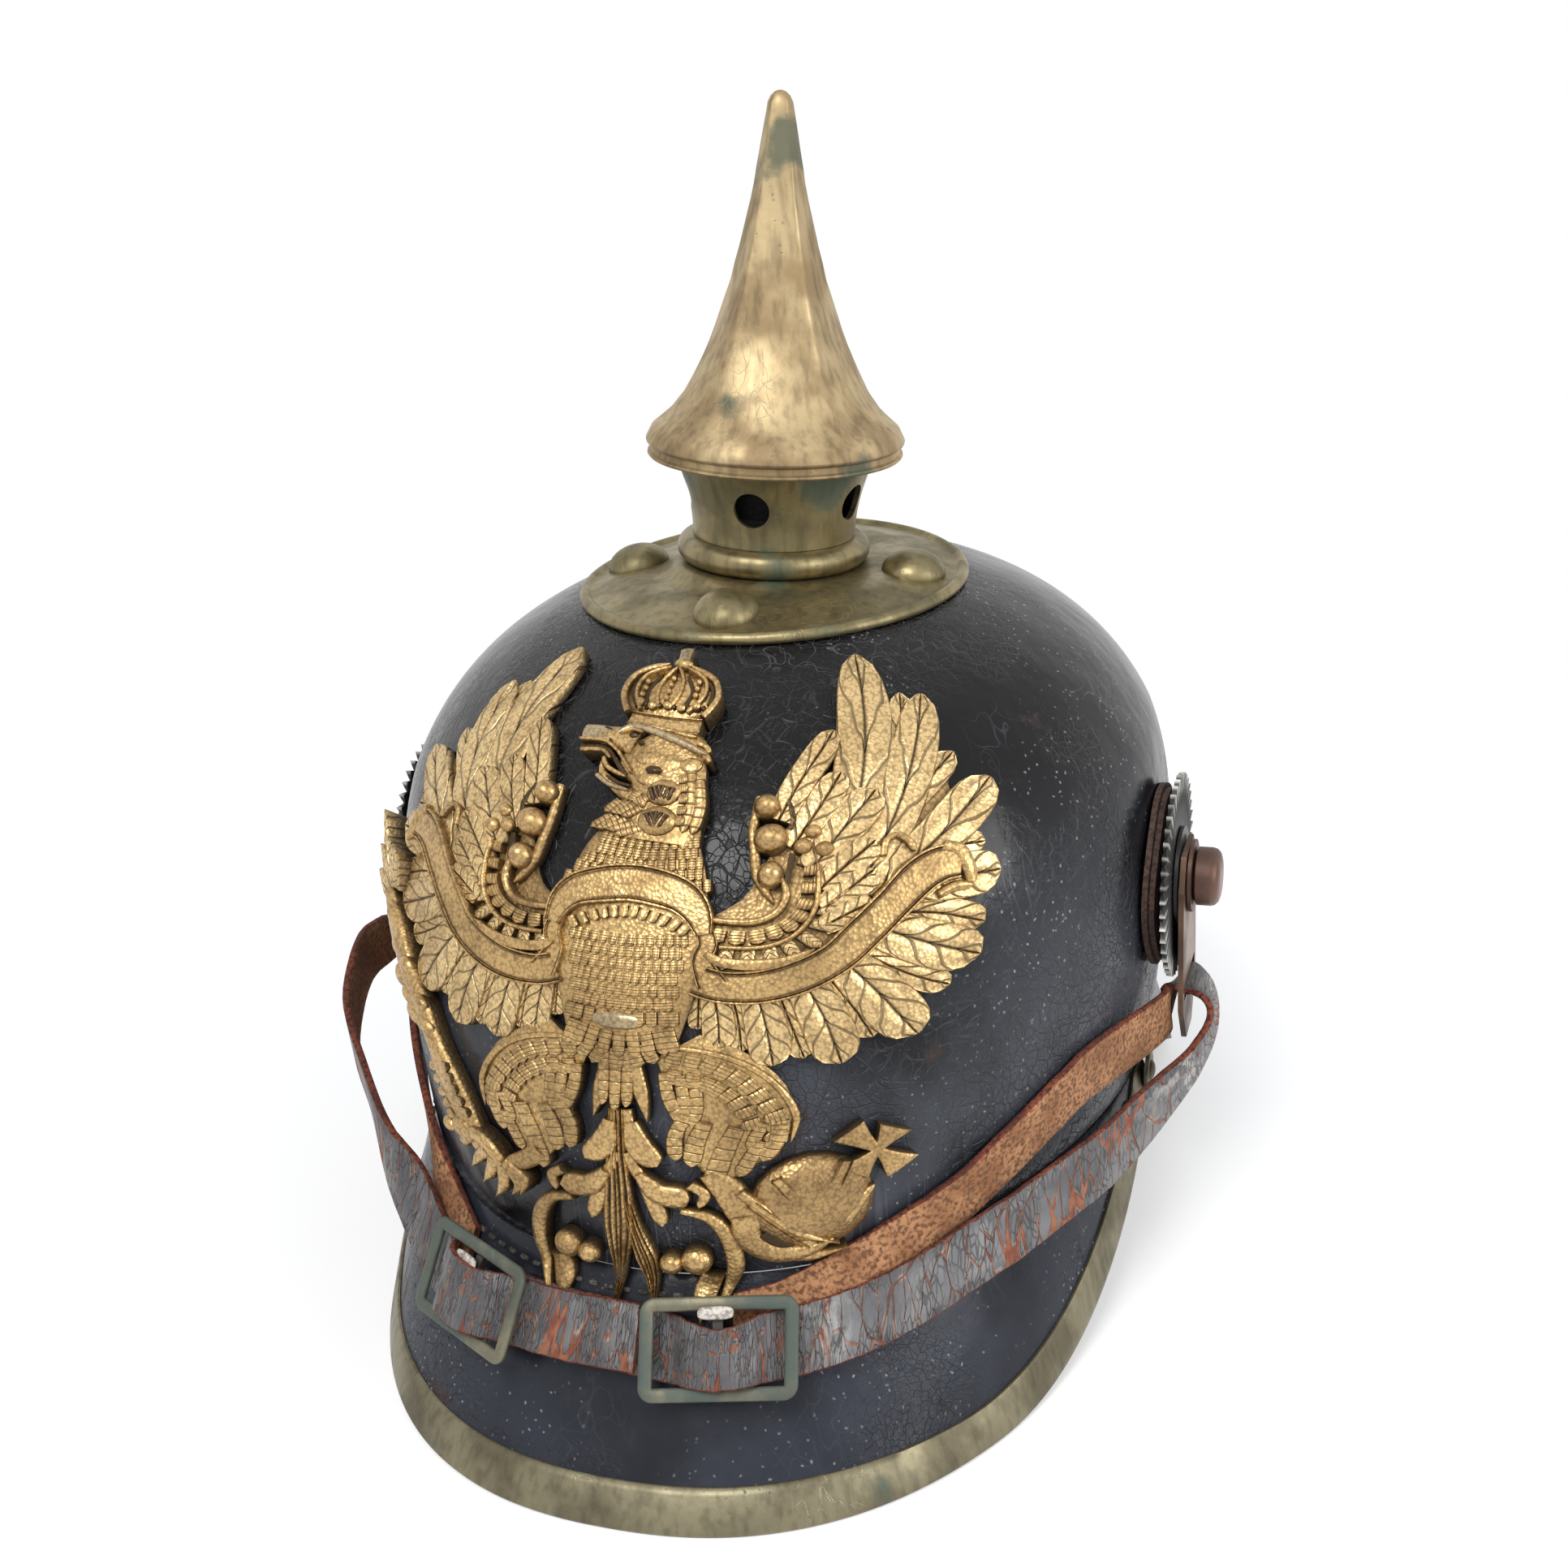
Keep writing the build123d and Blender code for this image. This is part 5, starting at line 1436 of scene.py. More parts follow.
        self.both([(846, 586), (898, 592), (928, 580), (942, 550), (936, 520)], [5, 6, 6, 6, 5], 2.6, **edge)
        self.both([(862, 632), (912, 635), (950, 620), (974, 585), (982, 540), (982, 500)], [4, 4, 4, 4, 4, 4], 2.7,
                  **edge)
        self.both([(905, 375), (897, 430), (900, 470), (906, 515), (926, 562)], [7, 7, 7, 8, 6], 1.6, 1.0, rows=18)
        self.domes([(916, 396, 19, 22), (922, 453, 24, 26), (922, 515, 18, 24)], 2.4, 3.2, True, "ball")
        self.domes([(978, 446, 12, 12), (964, 470, 13, 13), (992, 478, 13, 13)], 2.6, 1.4, True)
        self.lines([[(946, 384), (952, 420), (948, 440)], [(950, 480), (944, 520), (938, 545)]], 4, 2.6, twin=True)
        self.lines([[(1068, 505), (1074, 480), (1090, 472)], [(1090, 472), (1104, 488), (1110, 508)]], 5, 3.0,
                   "gilt", True)

    def build_ribbon(self) -> None:
        """Builds the ribbon: its arch, its folds and its two long bands."""
        band = dict(section=Section.RIMMED, tip=Tip.BLUNT, crown=0.5)
        self.strip([(643, 612), (652, 578), (672, 552), (706, 538), (745, 531), (785, 538), (815, 553), (834, 580),
                    (843, 612)], [10, 19, 27, 31, 32, 31, 27, 19, 10], 3.9, rows=36, **band)
        self.both([(840, 596), (848, 626), (842, 656), (856, 694)], [10, 12, 13, 20], (3.1, 2.9), rows=16, **band)
        self.both([(838, 686), (865, 697), (910, 700), (955, 690), (1000, 666), (1035, 630), (1075, 588),
                   (1110, 554), (1140, 541), (1168, 546)], [25, 26, 28, 29, 28, 29, 29, 32, 33, 28], (3.0, 3.4),
                  rows=40, **band)
        self.both([(846, 642), (864, 656), (900, 663), (940, 661), (975, 646)], [5, 8, 9, 8, 5], (3.4, 3.3), 0.4,
                  rows=18)
        self.both([(1148, 510), (1170, 524), (1177, 556), (1178, 590)], [9, 10, 10, 8], (3.3, 3.0), 0.7)
        self.both([(1132, 592), (1156, 584), (1180, 592)], [8, 10, 7], 2.4, 1.0)

    def build_head(self) -> None:
        """Builds the head, turned to the left, and the neck."""
        self.strip([(757, 458), (763, 400), (768, 350), (750, 300), (736, 262)], [71, 63, 57, 72, 60], (2.6, 3.2),
                   1.2, rows=18)
        self.strip([(704, 284), (672, 276), (640, 275)], [27, 21, 17], 3.5, 1.0, tip=Tip.BLUNT)
        self.strip([(654, 275), (628, 274), (603, 275)], [17, 17, 15], 3.6, 0.9, tip=Tip.BLUNT, finish="worn_gilt")
        self.lines([[(604, 292), (650, 289), (682, 308)], [(680, 306), (698, 326), (712, 344)]], 3, 4.4, "gilt")
        self.lines([[(606, 301), (650, 298), (676, 318)], [(674, 316), (690, 334), (704, 348)]], 4, 3.6)
        self.lines([[(610, 309), (648, 304), (668, 318)], [(656, 318), (668, 334), (704, 350)]], 4, 3.7, "gilt")
        self.strip([(720, 384), (690, 366), (662, 346), (654, 324)], [13, 10, 7, 4], 3.0, 0.9)
        self.lines([[(656, 352), (680, 366), (714, 374)]], 4, 3.9, "worn_gilt")
        self.lines([[(714, 366), (694, 362), (672, 352)], [(640, 262), (655, 268), (668, 280)],
                    [(638, 270), (652, 278), (664, 292)]], 2.5, 4.3)
        self.strip([(670, 272), (690, 257), (725, 261), (762, 274), (786, 284), (824, 306)], [5, 7, 7, 7, 7, 7],
                   (4.4, 4.2), 0.8, rows=18, finish="worn_gilt")
        self.strip([(690, 248), (750, 257), (802, 270)], [5, 5, 5], 3.9, 0.6)
        # Dark spots of painted shade in the hollows of the head.
        self.domes([(697, 273, 9, 6), (714, 287, 5, 4), (746, 335, 13, 7)], 4.4, 0.5, finish="deep")
        self.lines([[(678, 270), (692, 264), (714, 268)]], 3, 4.7, "gilt")
        self.domes([(730, 312, 20, 14), (768, 318, 20, 16), (745, 350, 24, 13), (800, 322, 18, 14)], 3.9, 0.5)
        self.domes([(768, 374, 26, 24), (766, 424, 28, 26)], 3.9, 1.5)
        # Two rows of dark tufts of painted shade.
        self.row([(748, 372), (766, 366), (786, 370)], 6, 22, 3.4, 5.3, finish="deep", rise=-0.4)
        self.row([(750, 418), (766, 412), (784, 418)], 5, 24, 3.4, 5.3, finish="deep", rise=-0.4)
        self.row([(724, 372), (745, 384), (744, 400)], 3, 20, 8, 3.9)
        self.row([(700, 392), (722, 396), (742, 404)], 4, 26, 7, 3.8, lean=-0.5)
        self.row([(694, 418), (720, 424), (748, 440)], 5, 30, 7, 3.6, lean=-0.7)
        for x, top, low in ((803, 336, 442), (817, 348, 444)):
            self.strip([(x, top), (x + 6, (top + low) / 2), (x, low)], [8, 9, 8], (3.9, 3.6), 0.6,
                       section=Section.TUFT, rows=16, finish="tuft")
        self.row([(786, 345), (792, 385), (792, 430)], 5, 14, 8, 4.1, -1)
        self.lines([[(800, 290), (818, 300), (830, 318)], [(806, 280), (820, 288), (826, 300)]], 5, 4.0, "gilt")

    def build_crown(self) -> None:
        """Builds the crown over the head."""
        self.dome((732, 182), (95, 58), 2.6, 1.9)
        hoops = (([(668, 228), (643, 190), (646, 155), (674, 133), (712, 124)], 6),
                 ([(690, 222), (668, 186), (669, 156), (690, 138), (718, 130)], 4),
                 ([(722, 216), (711, 186), (712, 160), (722, 140), (732, 130)], 4),
                 ([(742, 216), (753, 186), (753, 160), (743, 140), (734, 130)], 4),
                 ([(776, 222), (800, 188), (797, 158), (776, 140), (750, 130)], 4),
                 ([(805, 230), (824, 196), (819, 163), (798, 143), (758, 126)], 6))
        for path, half in hoops:
            self.strip(path, [half] * 5, (4.3, 4.6), 0.7, rows=18)
        self.lines([[(680, 214), (658, 180), (672, 144)], [(700, 218), (690, 180), (704, 144)],
                    [(764, 218), (776, 180), (756, 144)], [(812, 206), (812, 172), (790, 148)],
                    [(732, 214), (732, 200), (732, 142)]], 4, 4.4)
        beads = ((732, (154, 168, 182, 196)), (784, (160, 174, 188)), (683, (164, 178, 192)))
        self.domes([(x, y, 5.5, 6) for x, ys in beads for y in ys], 4.5, 0.9)
        self.domes([(x, y, 9, 8) for x, y in ((684, 206), (710, 212), (738, 210), (764, 214), (790, 210))], 4.5, 0.9)
        # Dark spots of painted shade between the crown's jewels.
        self.domes([(x, y, 4, 5) for x, y in ((697, 210), (724, 211), (751, 213), (777, 213), (804, 214))], 4.6, 0.4,
                   finish="deep")
        self.strip([(676, 238), (742, 246), (804, 250)], [13, 15, 15], 4.1, 0.4, section=Section.RIMMED, tip=Tip.BLUNT)
        self.dome((734, 114), (21, 11), 3.6, 1.3)
        self.strip([(734, 114), (731, 96), (728, 80)], [13, 13, 15], (4.2, 3.8), 0.5, tip=Tip.BLUNT, finish="worn_gilt")

    def build_breast(self) -> None:
        """Builds the breast with its rows of tufts, and the belt."""
        self.strip([(756, 440), (748, 500), (745, 600), (745, 700), (745, 790)], [70, 90, 100, 90, 70], (2.2, 2.5),
                   0.7, tip=Tip.BLUNT, rows=24)
        for k, (y, left, right) in enumerate(((446, 690, 824), (464, 682, 828), (482, 668, 832), (500, 654, 838),
                                              (520, 646, 846))):
            self.row([(left + 5 * (k % 2), y), ((left + right) / 2, y + 6), (right - 5 * (k % 2), y)], 13, 22, 5.6, 2.8)
        self.row([(662, 601), (702, 578), (745, 569), (788, 578), (826, 599)], 12, 20, 6.5, 3.4, finish="gilt")
        for k in range(6):
            shift = 5 * (k % 2)
            half = mix(76, 66, k / 5)
            self.row([(745 - half + shift, 612 + 21 * k), (745, 615 + 21 * k), (745 + half - shift, 612 + 21 * k)],
                     14, 21, 5.4, 2.8)
        self.row([(676, 738), (745, 742), (814, 738)], 10, 24, 7, 3.3)
        self.dome((742, 757), (36, 15), 3.2, 1.1, "worn_gilt")
        self.row([(682, 764), (745, 776), (808, 764)], 9, 42, 8, 3.1)
        self.row([(706, 790), (742, 804), (780, 790)], 5, 34, 9, 3.0)

    def build_legs(self) -> None:
        """Builds the feathered thighs and the feet."""
        self.both([(815, 795), (856, 850), (879, 905), (872, 960), (860, 1030)], [34, 60, 70, 62, 16], (1.8, 1.9),
                  0.8, rows=16)
        self.row([(806, 800), (852, 812), (892, 838), (922, 876), (942, 920), (940, 960)], 11, 27, 10, 2.6, 1, True)
        self.row([(806, 832), (846, 842), (876, 862), (900, 892), (914, 930)], 8, 24, 9, 2.7, 1, True)
        self.both([(812, 796), (858, 806), (902, 832), (934, 872), (951, 920), (944, 962)], [4, 5, 5, 5, 5, 4],
                  (2.5, 2.4), 0.7, rows=20)
        tuft = dict(crown=0.6, section=Section.TUFT, finish="tuft", rows=16)
        for path, half in (([(800, 838), (806, 880), (822, 925)], 9), ([(818, 842), (824, 890), (822, 930)], 9),
                           ([(836, 848), (838, 890), (832, 925)], 9), ([(826, 905), (812, 945), (812, 985)], 10),
                           ([(848, 920), (836, 955), (830, 995)], 12), ([(884, 930), (866, 980), (852, 1034)], 13),
                           ([(910, 955), (898, 985), (884, 1014)], 10), ([(932, 930), (928, 955), (912, 990)], 12),
                           ([(916, 925), (906, 945), (898, 970)], 9)):
            self.both(path, [0.8 * half, half, half], (2.8, 2.5), **tuft)
        claw = dict(crown=1.0, tip=Tip.POINTED)
        self.strip([(850, 1008), (872, 1042), (886, 1082), (900, 1112)], [15, 20, 19, 16], (2.0, 2.8), 1.5)
        self.strip([(886, 1082), (892, 1126), (918, 1156), (952, 1158), (984, 1140)], [15, 17, 17, 14, 8],
                   (2.6, 3.0), 1.8, rows=20)
        # Dark strip of painted shade on the foot.
        self.strip([(906, 1118), (926, 1136), (950, 1134)], [8, 10, 6], 3.8, 0.2, finish="deep")
        self.strip([(884, 1040), (918, 1082), (950, 1122), (990, 1148)], [7, 8, 8, 5], (3.6, 4.4), rows=16, **claw)
        self.strip([(922, 1160), (958, 1172), (1000, 1166)], [9, 9, 5], 2.8, **claw)
        self.strip([(634, 1006), (610, 1032), (578, 1056)], [16, 15, 13], (2.2, 2.8), 1.3)
        self.strip([(502, 1052), (520, 1028), (546, 1032), (574, 1058)], [10, 13, 14, 14], 3.4, 1.2)
        for path in ([(548, 1042), (530, 1066), (516, 1092)], [(560, 1050), (550, 1082), (536, 1110)],
                     [(574, 1056), (572, 1094), (558, 1124)], [(586, 1058), (600, 1080), (588, 1104)],
                     [(578, 1050), (606, 1066), (604, 1096)]):
            self.strip(path, [11, 9, 5], (3.6, 3.4), **claw)

    def build_tail(self) -> None:
        """Builds the pierced tail of stems, leaves, scrolls and beads."""
        fluted = dict(section=Section.FLUTED, tip=Tip.POINTED, crown=1.0)
        for x, low in ((726, 900), (741, 910), (756, 900)):
            self.strip([(x, 806), (x - 1, 856), (x - 3, low)], [8, 8, 7], (2.8, 2.4), 0.6, section=Section.TUFT,
                       rows=16, finish="tuft")
        self.strip([(740, 905), (738, 980), (737, 1060), (733, 1150), (729, 1256)], [10, 13, 18, 22, 14], (2.2, 1.9),
                   rows=26, **fluted)
        self.strip([(748, 1060), (756, 1120), (768, 1180), (776, 1246)], [6, 10, 15, 12], (2.0, 1.9), rows=20, **fluted)
        self.both([(757, 806), (768, 860), (779, 922)], [9, 10, 9], (2.3, 2.0), 0.8, tip=Tip.POINTED)
        self.both([(752, 905), (760, 960), (778, 1000)], [7, 8, 7], 2.0, 0.8)
        self.both([(758, 925), (768, 968), (790, 996)], [9, 18, 15], (2.3, 2.5), 1.1, rows=16)
        self.both([(750, 980), (768, 1022), (802, 1052)], [7, 9, 9], 2.0, 0.8, rows=16)
        self.both([(766, 1014), (790, 1046), (826, 1052)], [7, 18, 20], (2.4, 2.6), 1.2, rows=16)
        self.both([(826, 1030), (843, 1046), (836, 1068)], [8, 8, 6], 2.2, 0.9)
        self.both([(770, 1040), (782, 1072), (790, 1106)], [6, 11, 9], 1.8, 0.8)
        self.both([(814, 1076), (848, 1090), (868, 1128), (873, 1180), (862, 1222), (846, 1262)],
                  [6, 9, 11, 11, 10, 8], (2.0, 2.2), 1.2, rows=26, tip=Tip.POINTED)
        self.both([(846, 1196), (836, 1226), (832, 1262)], [14, 14, 8], 1.8, 1.0, tip=Tip.POINTED)
        self.domes([(798, 1174, 15, 18), (828, 1168, 19, 24)], 2.2, 2.6, True)

    def build_regalia(self) -> None:
        """Builds the orb with its cross, and the sceptre."""
        self.dome((964, 1078), (72, 87), 1.6, 4.0, "umber")
        bands = dict(section=Section.RIMMED, tip=Tip.BLUNT, crown=0.5)
        self.strip([(926, 1020), (946, 1056), (968, 1086), (988, 1050), (1004, 1008)], [7, 8, 8, 8, 7], (4.9, 4.4),
                   rows=20, **bands)
        self.strip([(898, 1060), (930, 1104), (962, 1146)], [7, 7, 7], (4.6, 4.4), **bands)
        self.strip([(1002, 1112), (1016, 1088), (1034, 1062)], [5, 6, 5], (4.4, 3.0), 0.8)
        for x, y in ((1008, 960), (1062, 972), (1067, 1044), (1012, 1034)):
            self.strip([(1040, 1003), (mix(1040, x, 0.5), mix(1003, y, 0.5)), (x, y)], [5, 12, 22], 3.4, 0.4,
                       tip=Tip.BLUNT, rows=8)
        rod = [(528, 1052), (500, 1016), (470, 968), (434, 908), (400, 862), (356, 816), (312, 764), (276, 714)]
        self.strip(rod, [18, 28, 31, 22, 27, 26, 32, 28], (1.8, 3.0), 1.9, rows=44)
        knots = ((498, 1030, 22, 20), (470, 1040, 14, 14), (418, 884, 24, 16), (388, 880, 20, 22),
                 (372, 858, 20, 18), (344, 838, 20, 22), (404, 850, 20, 16), (330, 790, 22, 22), (300, 750, 24, 20),
                 (362, 806, 18, 18), (286, 722, 20, 20))
        self.domes(knots, 3.2, 1.7)
        self.row([(456, 930), (478, 966), (502, 1002)], 5, 17, 8, 3.6, -1, lean=0.4)
        self.row([(442, 938), (464, 980), (484, 1014)], 5, 14, 8, 3.6, 1, lean=0.4)
        for path in ([(290, 700), (262, 660), (250, 622)], [(285, 704), (240, 690), (208, 664)],
                     [(292, 712), (250, 724), (214, 716)], [(296, 694), (292, 654), (300, 622)],
                     [(240, 690), (200, 640), (190, 600)]):
            self.strip(path, [17, 20, 16], (3.0, 4.0), 0.9, section=Section.FEATHER, finish="feather")

    def build(self) -> None:
        """Builds the plate and joins it."""
        for part in (self.build_wings, self.build_breast, self.build_legs, self.build_tail, self.build_regalia,
                     self.build_head, self.build_crown, self.build_ribbon):
            part()
        plate = Bench.join("eagle_relief", self.tiles)
        Bench.smooth(plate, 50)
        Bench.hand_over(plate, "helmet", "gilt_brass", "eagle_plate")


@dataclass
class SideFitting:
    """Cockade and post boss on each side."""

    finishes: Finishes
    y: float = -4.0 * MM
    z: float = 45.4 * MM
    cockade_x: float = 91.3 * MM
    cockade_radius: float = 23.0 * MM
    teeth: int = 44
    boss_x: float = 96.1 * MM
    boss_radius: float = 6.6 * MM
    boss_height: float = 6.0 * MM

    def build_cockade(self) -> Piece:
        """Builds the fluted ring with its dished centre."""
        rows = 14
        steps = self.teeth * 4

        def place(around: float, inwards: float) -> Vector:
            j = round(inwards * rows)
            share = clamp((j - 1) / (rows - 1))
            turn = TURN * around
            wave = 0.5 + 0.5 * math.cos(turn * self.teeth)
            radius = mix(self.cockade_radius - 1.9 * MM * (1 - wave) * (share < 0.2), 3.0 * MM, share)
            height = 0.1 * MM if j == 0 else mix(0.9, 1.7, share) * MM
            if 0 < j and share < 0.62:
                height += 0.9 * MM * wave * (1 - share / 0.7) - 0.35 * MM
            return Vector((self.cockade_x + height, self.y + radius * math.cos(turn), self.z + radius * math.sin(turn)))

        piece = Bench.sheet("cockade_ring", steps, rows, place, merge=True)
        mesh = piece.data
        # Crest of each tooth, painted pale by the enamel as worn paint and as painted highlight.
        paint = mesh.attributes.new("recess", "FLOAT", "POINT")
        for vertex in mesh.vertices:
            turn = math.atan2(vertex.co.z - self.z, vertex.co.y - self.y)
            radius = math.hypot(vertex.co.z - self.z, vertex.co.y - self.y)
            outer = clamp((radius - 12 * MM) / (9 * MM))
            paint.data[vertex.index].value = (0.5 + 0.5 * math.cos(turn * self.teeth)) * outer
        Bench.close(piece)
        return Bench.dress(piece, 40, self.finishes.enamel)

    def build_boss(self) -> Piece:
        """Builds the round head of the side post."""
        r, h = self.boss_radius, self.boss_height
        seat = Matrix.Translation((self.boss_x, self.y, self.z)) @ Matrix.Rotation(math.pi / 2, 4, "Y")
        profile = [(0, 0), (0.8 * r, 0), (r, 0.12 * h), (r, 0.62 * h), (0.96 * r, 0.78 * h), (0.85 * r, 0.9 * h),
                   (0.66 * r, 0.97 * h), (0.4 * r, h), (0, h)]
        piece = Bench.turned("post_boss", profile, seat, 48)
        return Bench.dress(piece, 40, self.finishes.boss)

    def build(self) -> None:
        """Builds the left fitting and its mirror image."""
        for piece, node, slot in ((self.build_cockade(), "cockade", "cockade_paint"),
                                  (self.build_boss(), "side_post", "aged_brass")):
            other = Bench.mirrored(piece, piece.name + "_right")
            piece.name += "_left"
            Bench.hand_over(piece, "helmet", slot, node + "_left")
            Bench.hand_over(other, "helmet", slot, node + "_right")


@dataclass
class Chinstrap:
    """Two buckled leather strips on brass lugs."""

    finishes: Finishes
    width: float = 13.6 * MM
    leather: float = 1.6 * MM
    level: float = -11.5 * MM
    inner_rise: float = 32.5 * MM
    outer_rise: float = 10.5 * MM
    outer_spread: float = 3.0 * MM
    lug_angle: float = 70.0
    slot: Triple = (94.4 * MM, -4.0 * MM, 17.8 * MM)
    bulge: float = 6.4 * MM
    buckle_length: float = 31.5 * MM
    buckle_height: float = 20.0 * MM
    buckle_bar: float = 2.8 * MM
    buckle_sheet: float = 1.2 * MM
    layer_one: float = 1.5 * MM
    layer_two: float = 3.8 * MM
    frame_lift: float = 5.9 * MM
    arch_lift: float = 8.0 * MM
    buckles: tuple[float, float] = (23.0, 11.5)
    right_inner: tuple[Point, ...] = (
        (0.186, 0.092), (0.271, 0.138), (0.371, 0.246), (0.486, 0.385), (0.60, 0.538), (0.714, 0.708), (0.829, 0.86),
        (0.93, 0.92))
    right_outer: tuple[Triple, ...] = (
        (1.0, 1.0, 1.0), (0.914, 0.952, 0.87), (0.814, 0.886, 0.53), (0.714, 0.714, 0.33), (0.614, 0.524, 0.2),
        (0.514, 0.314, 0.1), (0.414, 0.143, 0.0), (0.329, 0.048, 0.0))
    right_end: tuple[Point, ...] = ((-0.029, 0.028), (-0.114, 0.028), (-0.20, 0.022), (-0.243, 0.015))
    left_inner: tuple[Point, ...] = (
        (0.40, 0.092), (0.486, 0.20), (0.586, 0.385), (0.686, 0.569), (0.786, 0.754), (0.871, 0.892), (0.943, 0.92))
    left_outer: tuple[Triple, ...] = (
        (0.857, 3.1, 4.1), (0.743, 2.3, 3.2), (0.643, 1.3, 2.4), (0.56, 0.52, 1.2), (0.487, 0.12, 0.2))
    left_end: tuple[Point, ...] = ((0.171, 0.015), (0.10, 0.022), (0.029, 0.028), (-0.021, 0.028))
    inner_loop: tuple[tuple[float, ...], ...] = (
        (-0.60, 2.0, -0.35, 0.85, 1.0), (-0.58, 1.1, -0.2, 0.6, 0.9), (-0.42, 0.35, 0.1, 0.3, 0.55))
    right_loop: tuple[tuple[float, ...], ...] = (
        (0.0, 0.0, 0.25, 0.0, 0.0), (0.40, 0.04, 0.17, 0.05, -0.3), (0.80, 0.18, -0.18, 0.16, -0.6),
        (1.0, 0.45, -0.72, 0.31, -0.9), (0.95, 0.9, -1.30, 0.47, -1.05), (0.62, 1.55, -1.95, 0.61, -1.15),
        (0.15, 2.35, -2.45, 0.75, -1.15))
    left_loop: tuple[tuple[float, ...], ...] = (
        (0.0, 0.0, 0.25, 0.0, 0.0), (0.42, 0.05, 0.24, 0.06, -0.2), (0.80, 0.25, 0.22, 0.2, -0.45),
        (1.05, 0.80, 0.25, 0.42, -0.68), (1.10, 1.9, 0.45, 0.68, -0.85), (0.95, 3.5, 0.75, 0.86, -0.95),
        (0.60, 5.6, 0.95, 0.95, -1.0))
    slips: tuple[tuple[str, float, float], ...] = (
        ("buckle_slip_left", -24.2, -7.3 * MM), ("buckle_slip_right", 11.2, -6.0 * MM))
    slip_lift: float = 7.4 * MM
    slip_size: Triple = (3.6 * MM, 1.3 * MM, 0.7 * MM)
    arch_sag: float = 1.3 * MM
    arch_dip: float = 1.8 * MM

    def on_hull(self, angle: float, middle: float, lift: float, way: int = 1) -> Station:
        """Station of leather on the hull.

        Args:
            angle: direction in degrees from the front.
            middle: height of its middle.
            lift: distance off the hull.
            way: 1 where the strip runs to the back and -1 where it comes forward.

        Returns:
            Its middle, the direction across it and the direction along it.
        """
        reach = self.width * 0.42
        top, low = HULL.point(angle, middle + reach), HULL.point(angle, middle - reach)
        run = (HULL.point(angle + 1, middle) - HULL.point(angle - 1, middle)).normalized()
        side = (top - low).normalized()
        out = run.cross(side).normalized()
        centre = (top + low) / 2
        seat = max((HULL.point(angle, middle + self.width * i / 4) - centre).dot(out) for i in range(-2, 3))
        return centre + out * (seat + lift), side, run * way

    def beside_lug(self, out: float, forward: float, up: float, tilt: float, turn: float) -> Station:
        """Station beside the lug, counted from the lower edge of its slot."""
        lean, pitch = math.pi / 2 * tilt, math.pi / 2 * turn
        x, y, z = self.slot
        middle = Vector((x + out * self.bulge, y - forward * self.bulge, z + up * self.bulge))
        upright = Vector((0, math.sin(lean), math.cos(lean)))
        return middle, Vector((0, -math.cos(lean), math.sin(lean))), Vector((math.cos(pitch), 0,
                                                                             0)) + upright * math.sin(pitch)

    def stations(self, inner: Sequence, loop: Sequence, outer: Sequence, buckle: float, end: Sequence,
                 last: float) -> list[Station]:
        """Stations of one strip on the +X side, from under its buckle to the lug and back through the buckle.

        Args:
            inner: angle and rise of the layer next to the shell, up to the lug.
            loop: the way round the lug, counted in bulges and quarter turns.
            outer: angle, rise and lift of the outer layer, back to the buckle.
            buckle: direction of the buckle in degrees.
            end: angle and rise of the strip's end past the buckle.
            last: distance of that end off the hull.

        Returns:
            The stations in their order.
        """
        found = [self.on_hull(a * self.lug_angle, self.level + rise * self.inner_rise, self.layer_one) for a,
                 rise in inner]
        found += [self.beside_lug(*row) for row in self.inner_loop + loop]
        found += [self.on_hull(a * self.lug_angle, self.level + rise * self.outer_rise,
                               self.layer_two + lift * self.outer_spread, -1) for a, rise, lift in outer]
        step = math.degrees(self.buckle_length / (4 * (HULL.front + HULL.visor_reach / 4)))
        dip = step * 1.8
        final = self.arch_lift - (1.6 * MM if last < self.layer_two else 0)
        over = ((dip, self.layer_two), (step, self.arch_lift), (0, self.arch_lift + 0.4 * MM), (-step, final),
                (-dip, last))
        found += [self.on_hull(buckle + turn, self.level, lift, -1) for turn, lift in over]
        found += [self.on_hull(a * self.lug_angle, self.level + rise * self.inner_rise, last, -1) for a, rise in end]
        return found

    def strip(self, name: str, stations: Sequence[Station], mirrored: bool) -> Piece:
        """Strip of leather with rounded, slightly wavy edges through stations.

        Args:
            name: name of the piece.
            stations: its stations on the +X side.
            mirrored: whether it lies on the -X side.

        Returns:
            The new piece.
        """
        lists = [[[getattr(s[k], axis) for s in stations] for axis in "xyz"] for k in range(3)]
        rows = (len(stations) - 1) * 6
        arch = len(stations) - 7
        half = [(-1.0, 0.0), (-0.985, 0.7), (-0.95, 1.0), (-0.5, 1.0), (0.0, 1.0), (0.5, 1.0), (0.95, 1.0),
                (0.985, 0.7)]
        section = half + [(-across, -thick) for across, thick in half] + half[:1]
        columns = len(section) - 1
        chance = random.Random(7 if mirrored else 3)
        ragged = [chance.uniform(-1, 1) for _ in range(rows + 1)]

        def place(around: float, run: float) -> Vector:
            middle, side, way = (Vector([along(values, run) for values in group]) for group in lists)
            out = way.cross(side).normalized()
            across, thick = section[round(around * columns)]
            j = round(run * rows)
            edge = 1 + 0.018 * ragged[j] * (1 if across > 0 else -1)
            bowed = math.exp(-((run * (len(stations) - 1) - arch) / 1.1) ** 2)
            dip = max(0.0, across) * self.arch_dip * (0.3 if mirrored else 1.0)
            reach = across * edge * self.width / 2 - bowed * (self.arch_sag + dip)
            point = middle + side.normalized() * reach + out * (thick * self.leather / 2)
            if mirrored:
                point.x = -point.x
            return point

